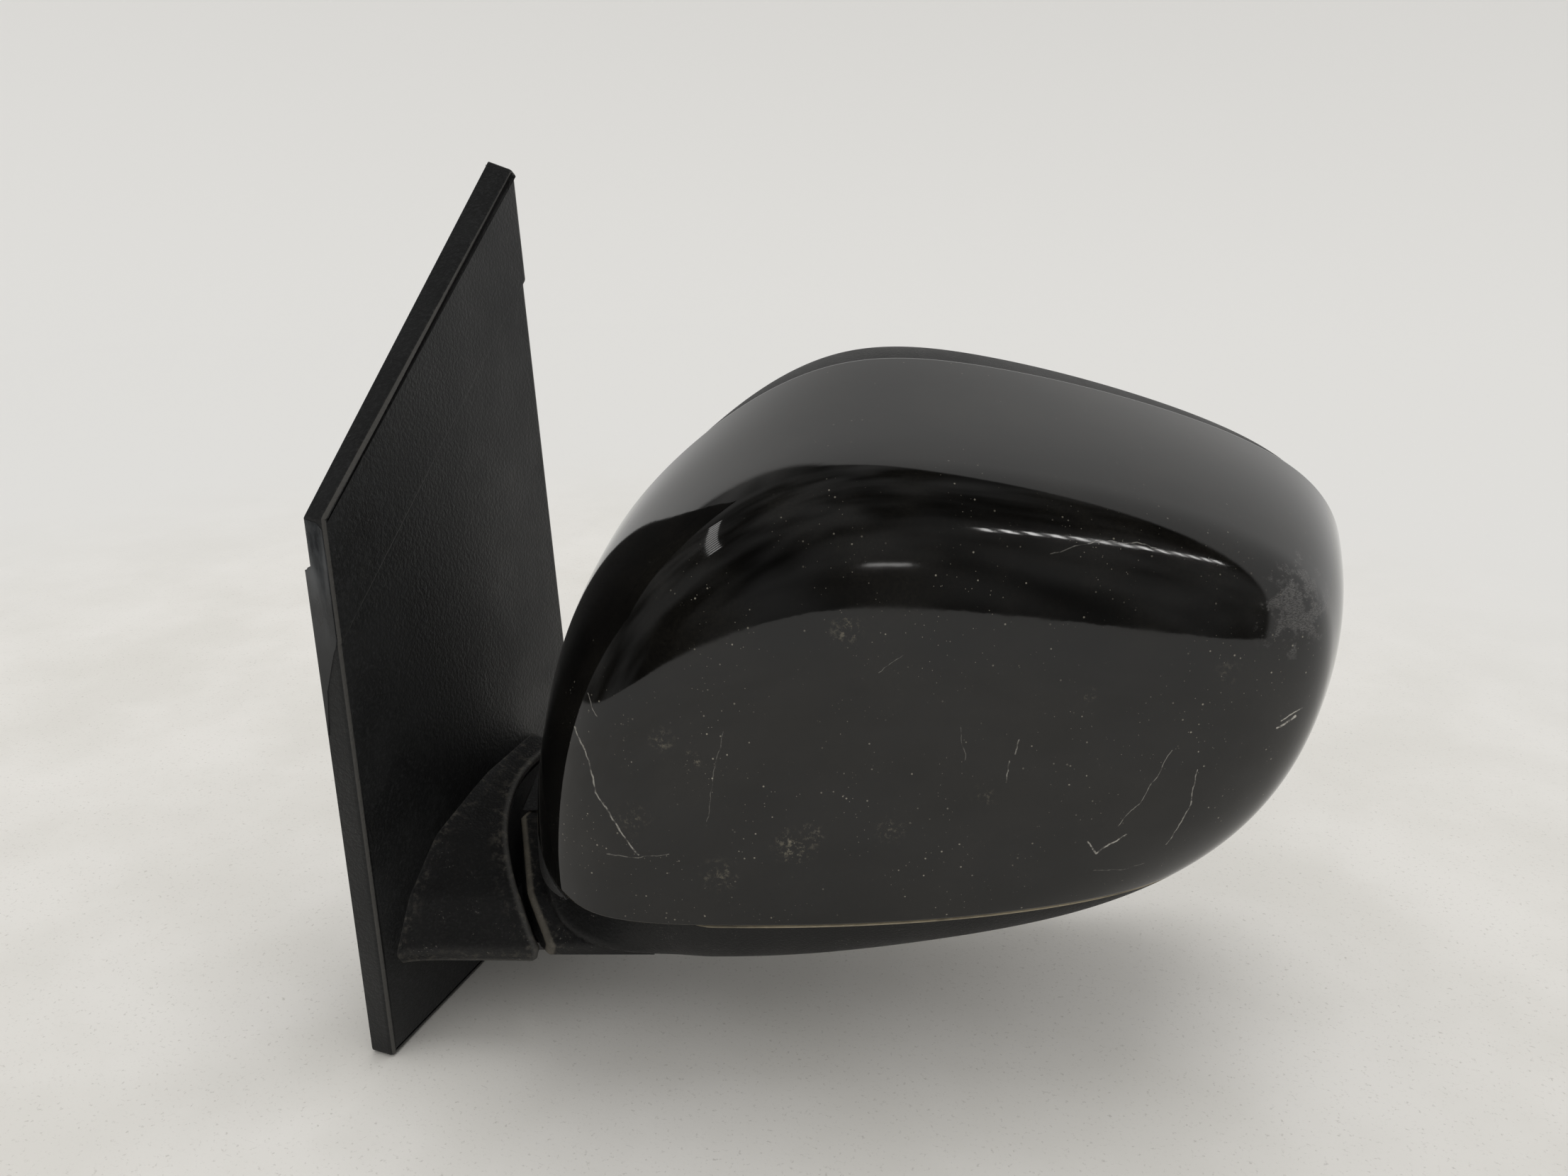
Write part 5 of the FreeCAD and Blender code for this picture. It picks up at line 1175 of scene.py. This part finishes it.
def flange_plastic():
    """Smooth plastic with paler bluish patches toward its upper end, which are a painted sheen."""
    s = Shader("flange_plastic")
    sheen_blotches = s.noise(7, 4, 0.6, s.stretch((1, 1, 0.35)))
    # Paler bluish patches, stronger higher up: a painted sheen.
    wear_and_sheen = s.product(s.span(s.axis("Z"), 0.03, 0.08), s.span(sheen_blotches, 0.35, 0.7))
    s.set(Base_Color=s.mix(wear_and_sheen, (0.012, 0.013, 0.014), (0.075, 0.08, 0.085)), IOR=1.5)
    return s.set(Roughness=s.span(sheen_blotches, 0.3, 0.7, 0.22, 0.36), Normal=s.bump(s.noise(0.5, 2, 0.6), 0.02, 0.5))


def metal(name, tone, rough):
    """Metal with fine drawn streaks, stains and slight roughness changes."""
    s = Shader(name)
    lines = s.noise(0.8, 3, 0.6, s.stretch((1, 1, 14)))
    stains = s.product(s.span(s.noise(7, 4, 0.65), 0.45, 0.75), 0.35)
    s.set(Base_Color=s.mix(stains, tone, [c * 0.45 for c in tone]), Metallic=1.0)
    shine = s.span(lines, 0.3, 0.7, rough - 0.06, rough + 0.1)
    return s.set(Roughness=shine, Normal=s.bump(lines, 0.02, 0.4))


def foam():
    s = Shader("foam")
    pores = s.cells(0.7)
    tone = s.mix(s.span(pores, 0.1, 0.6), (0.012, 0.012, 0.012), (0.045, 0.045, 0.045))
    return s.set(Base_Color=tone, Roughness=0.95, Sheen_Weight=0.2, Normal=s.bump(pores, 0.25, 0.8))


def mirror_coat():
    """Silvered glass with a little dust and a few drying marks."""
    s = Shader("mirror_coat")
    dust = s.span(s.noise(0.7, 3, 0.7), 0.62, 0.75)
    drift = s.span(s.noise(40, 3, 0.6), 0.45, 0.7)
    rough = s.math("ADD", s.product(drift, 0.05), s.product(dust, 0.25))
    s.set(Base_Color=s.mix(s.product(dust, 0.5), (0.80, 0.83, 0.84), (0.5, 0.49, 0.46)), Metallic=1.0)
    return s.set(Roughness=s.math("ADD", rough, 0.012))


def heater_film():
    s = Shader("heater_film")
    s.set(Base_Color=s.mix(s.span(s.waves(60, 1.5), 0.42, 0.5), (0.55, 0.50, 0.42), (0.72, 0.70, 0.66)))
    return s.set(Roughness=s.span(s.noise(2), 0.3, 0.7, 0.4, 0.6))


def lens_plastic():
    """Smoked clear plastic over fine ribs."""
    s = Shader("lens_plastic")
    haze = s.noise(3, 3, 0.6)
    s.set(Base_Color=s.mix(s.span(haze, 0.3, 0.7), (0.10, 0.075, 0.070), (0.15, 0.12, 0.11)))
    s.set(Transmission_Weight=0.6, IOR=1.35, Roughness=s.span(haze, 0.3, 0.7, 0.20, 0.30))
    return s.set(Normal=s.bump(s.waves(130), 0.15, 0.6))


def bulb_glass():
    s = Shader("bulb_glass")
    haze = s.noise(1.5, 3, 0.6)
    s.set(Base_Color=s.mix(haze, (0.9, 0.9, 0.88), (0.8, 0.8, 0.78)), Transmission_Weight=0.8, IOR=1.45)
    return s.set(Roughness=s.span(haze, 0.3, 0.7, 0.04, 0.12))


def acetal():
    s = Shader("acetal")
    flow = s.noise(6, 3, 0.6, s.stretch((1, 3, 1)))
    s.set(Base_Color=s.mix(s.span(flow, 0.3, 0.7), (0.62, 0.60, 0.54), (0.72, 0.70, 0.64)))
    return s.set(Roughness=s.span(s.noise(0.6), 0.3, 0.7, 0.32, 0.45), Subsurface_Weight=0.08)


def dress_pieces():
    """Finished shells in the place of CAD nodes, and a material on every other node."""
    dark = (0.0045, 0.0045, 0.0045)
    grained = textured_plastic("textured_plastic", dark, 0.5, 0.35)
    shell_skin = textured_plastic("shell_plastic", dark, 0.5, 0.35, ledge_dust_and_highlight=True)
    plate_skin = textured_plastic("plate_plastic", (0.006, 0.0063, 0.0065), 0.12, 0.5, grain=1.1)
    bezel = textured_plastic("bezel_plastic", (0.012,) * 3, 0.3, 0.0, 0.6, (0.45, 0.62), 1.46)
    shells = [
        (make_cap(), "cap", gloss_paint(), "gloss_paint"),
        (make_lower_housing(), "lower_housing", shell_skin, "textured_plastic"),
        (make_rear_housing(), "rear_housing", bezel, "bezel_plastic"),
        (make_glass(), "mirror_glass", mirror_coat(), "mirror_coat"),
        (make_plate(), "sail_cover", plate_skin, "textured_plastic"),
        (make_arm(), "sail_cover", grained, "textured_plastic"),
        (make_flange(), "sail_cover", flange_plastic(), "textured_plastic"),
    ]
    for piece, node, material, slot in shells:
        piece.data.materials.append(material)
        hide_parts(node)

    finishes = {
        ("base_frame",): cast_black(),
        ("door_gasket",): foam(),
        ("cable_grommet",): rubber(),
        ("detent_ring_moving",): metal("sintered_steel", (0.36, 0.35, 0.34), 0.5),
        ("fold_spring",): metal("spring_steel", (0.26, 0.26, 0.28), 0.35),
        ("heater_pad",): heater_film(),
        ("lamp_lens",): lens_plastic(),
        ("lamp_bulb",): bulb_glass(),
        ("heater_terminals", "pan_worm", "tilt_worm"): metal("brass", (0.70, 0.52, 0.24), 0.3),
        ("pan_motor", "tilt_motor"): metal("motor_steel", (0.52, 0.52, 0.52), 0.28),
        ("mounting_studs", "cover_screws", "frame_screws", "actuator_screws", "spring_washer",
         "retaining_ring", "pivot_post", "detent_ring_fixed"): metal("zinc_steel", (0.62, 0.60, 0.54), 0.32),
        ("pivot_bush", "gimbal_ring", "pan_plunger", "tilt_plunger", "pan_gear", "tilt_gear"): acetal(),
        ("head_frame", "actuator_back", "actuator_front", "glass_carrier", "lamp_housing"): nylon(),
    }
    for nodes, material in finishes.items():
        for node in nodes:
            slots = frame["nodes"][node].data.materials
            for k in range(len(slots)):
                slots[k] = material
            if not slots:
                slots.append(material)


# ---------------------------------------------------------------- stage

CAMERA_SPOT = Vector((0.232, -0.3108, 0.175))
CAMERA_AZIMUTH = math.radians(20.6)
CAMERA_DROP = math.radians(20.0)
LENS = 28.3               # millimetres, on a 36 mm sensor
FLOOR_REACH = 1.6
SWEEP_RADIUS = 2.6
SWEEP_TURN = 80           # degrees
FLOOR_COLUMNS = 96
AMBIENT = 0.80
KEY_DIRECTION = Vector((-0.12, -0.24, -1.0))
KEY_ENERGY = 0.75
KEY_ANGLE = math.radians(30)


def floor_shader():
    """Pale painted board, dirtied near the object and clean further out."""
    s = Shader("pale_floor")
    fine = s.noise(1.4, 3, 0.65)
    nicks = s.noise(3, 2, 0.6, s.stretch((1, 9, 1), (0, 0, 0.6)))
    tone = s.mix(s.span(s.noise(90, 4, 0.6), 0.3, 0.7), (0.70, 0.685, 0.65), (0.76, 0.745, 0.715))
    tone = s.mix(s.span(fine, 0.58, 0.75, 0.0, 0.45), tone, (0.36, 0.34, 0.31))
    tone = s.mix(s.span(nicks, 0.70, 0.74, 0.0, 0.35), tone, (0.36, 0.34, 0.32))
    near = s.span(s.vector("LENGTH", s.place, output="Value"), 0.35, 0.8, 1.0, 0.0)
    tone = s.mix(near, (0.73, 0.725, 0.71), tone)
    return s.set(Base_Color=tone, Roughness=0.8, IOR=1.3, Normal=s.bump(fine, 0.15, 0.4))


def make_floor():
    """Round pale floor that turns up into a wall far outside every view."""
    material = floor_shader()
    level = CAD_BOX[0].z
    turns = np.linspace(0, 2 * math.pi, FLOOR_COLUMNS, endpoint=False)
    sweep_rows = []
    for bend in np.radians(np.linspace(0, SWEEP_TURN, 17)):
        rise = SWEEP_RADIUS * (1 - math.cos(bend))
        sweep_rows.append((FLOOR_REACH + SWEEP_RADIUS * math.sin(bend), level + rise))
    floor_rows = [(0.02, level), (0.8, level), (FLOOR_REACH, level)]
    for name, rows, lights_up in (("floor", floor_rows, True), ("sweep", sweep_rows, False)):
        spots = [(r * math.cos(t), r * math.sin(t), z) for r, z in rows for t in turns]
        faces = []
        for k in range(len(rows) - 1):
            faces += strip_faces(FLOOR_COLUMNS, k * FLOOR_COLUMNS, (k + 1) * FLOOR_COLUMNS)
        if name == "floor":
            faces.append(list(range(FLOOR_COLUMNS))[::-1])
        mesh = bpy.data.meshes.new(name)
        mesh.from_pydata(spots, [], faces)
        piece = smooth_piece(name, mesh)
        mesh.materials.append(material)
        piece.visible_glossy = lights_up
        piece.visible_shadow = lights_up
        piece.visible_diffuse = lights_up


# Bright spots of the room: direction in degrees from +Y and above the floor, half width and
# half height as slopes, pitch of their dashes, and strength.
ROOM_LIGHTS = [
    (122.0, 33.0, 0.30, 0.018, 0.045, 16.0),
    (-70.0, 12.0, 0.03, 0.20, 0.050, 9.0),
    (-98.0, 12.0, 0.02, 0.16, 0.040, 7.0),
    (-108.0, 44.0, 0.40, 0.028, 0.06, 5.0),
    (155.0, 8.0, 0.05, 0.012, 0.0, 5.0),
]
WALL_AHEAD = (math.sin(math.radians(22)), math.cos(math.radians(22)), -0.34)
WALL_LIGHT = 0.74


def room_light(n, turn, rise, half_width, half_height, dash):
    """Mask of a rectangle seen in a direction given in degrees from +Y and above the floor."""
    a, e = math.radians(turn), math.radians(rise)
    facing = n.dot(n.place, (math.sin(a) * math.cos(e), math.cos(a) * math.cos(e), math.sin(e)))
    across = n.math("DIVIDE", n.dot(n.place, (math.cos(a), -math.sin(a), 0)), facing)
    up = (-math.sin(e) * math.sin(a), -math.sin(e) * math.cos(a), math.cos(e))
    high = n.math("DIVIDE", n.dot(n.place, up), facing)
    mask = n.span(facing, 0.5, 0.55)
    for value, half in ((across, half_width), (high, half_height)):
        mask = n.product(mask, n.span(n.math("ABSOLUTE", value), half * 0.9, half, 1.0, 0.0))
    if dash:
        along = across if half_width > half_height else high
        part = n.math("FRACT", n.math("DIVIDE", along, dash))
        mask = n.product(mask, n.span(part, 0.42, 0.5, 1.0, 0.0))
    return mask


def make_world():
    """Pale surroundings; gloss mirrors a bright wall behind the object and a dim room in front."""
    world = bpy.data.worlds.new("studio")
    bpy.context.scene.world = world
    world.use_nodes = True
    n = Nodes(world.node_tree, "Generated")
    clouds = n.node("TexNoise", {"Vector": n.place, "Scale": 2.2}, "Fac")
    mirrored = n.math("MAXIMUM", n.span(n.dot(n.place, WALL_AHEAD), 0.02, 0.07, 0.0, WALL_LIGHT),
                      n.span(clouds, 0.35, 0.70, 0.02, 0.30))
    for *shape, power in ROOM_LIGHTS:
        mirrored = n.math("ADD", mirrored, n.product(room_light(n, *shape), power))
    plain, wall = [n.node("Background", {"Color": (1.0, 0.99, 0.97), "Strength": strength})
                   for strength in (AMBIENT, mirrored)]
    seen = n.node("MixShader", {0: n.node("LightPath", output="Is Glossy Ray"), 1: plain, 2: wall})
    seen = n.node("MixShader", {0: n.node("LightPath", output="Is Camera Ray"), 1: seen, 2: plain})
    output = n.tree.nodes.new("ShaderNodeOutputWorld")
    n.put(output.inputs["Surface"], seen)


def make_lights():
    sun = bpy.data.lights.new("key", "SUN")
    sun.energy = KEY_ENERGY
    sun.angle = KEY_ANGLE
    key = bpy.data.objects.new("key", sun)
    bpy.context.scene.collection.objects.link(key)
    key.rotation_euler = KEY_DIRECTION.to_track_quat("-Z", "Y").to_euler()
    key.visible_glossy = False


def make_camera():
    data = bpy.data.cameras.new("camera")
    data.sensor_width = 36.0
    data.lens = LENS
    data.clip_start = 0.01
    data.clip_end = 50
    camera = bpy.data.objects.new("camera", data)
    bpy.context.scene.collection.objects.link(camera)
    camera.location = CAMERA_SPOT
    level = math.cos(CAMERA_DROP)
    ahead = Vector((-math.sin(CAMERA_AZIMUTH), math.cos(CAMERA_AZIMUTH), 0)) * level
    ahead.z = -math.sin(CAMERA_DROP)
    camera.rotation_euler = ahead.to_track_quat("-Z", "Y").to_euler()
    bpy.context.scene.camera = camera
    bpy.context.scene.view_settings.view_transform = "Standard"


dress_pieces()
make_floor()
make_world()
make_lights()
make_camera()
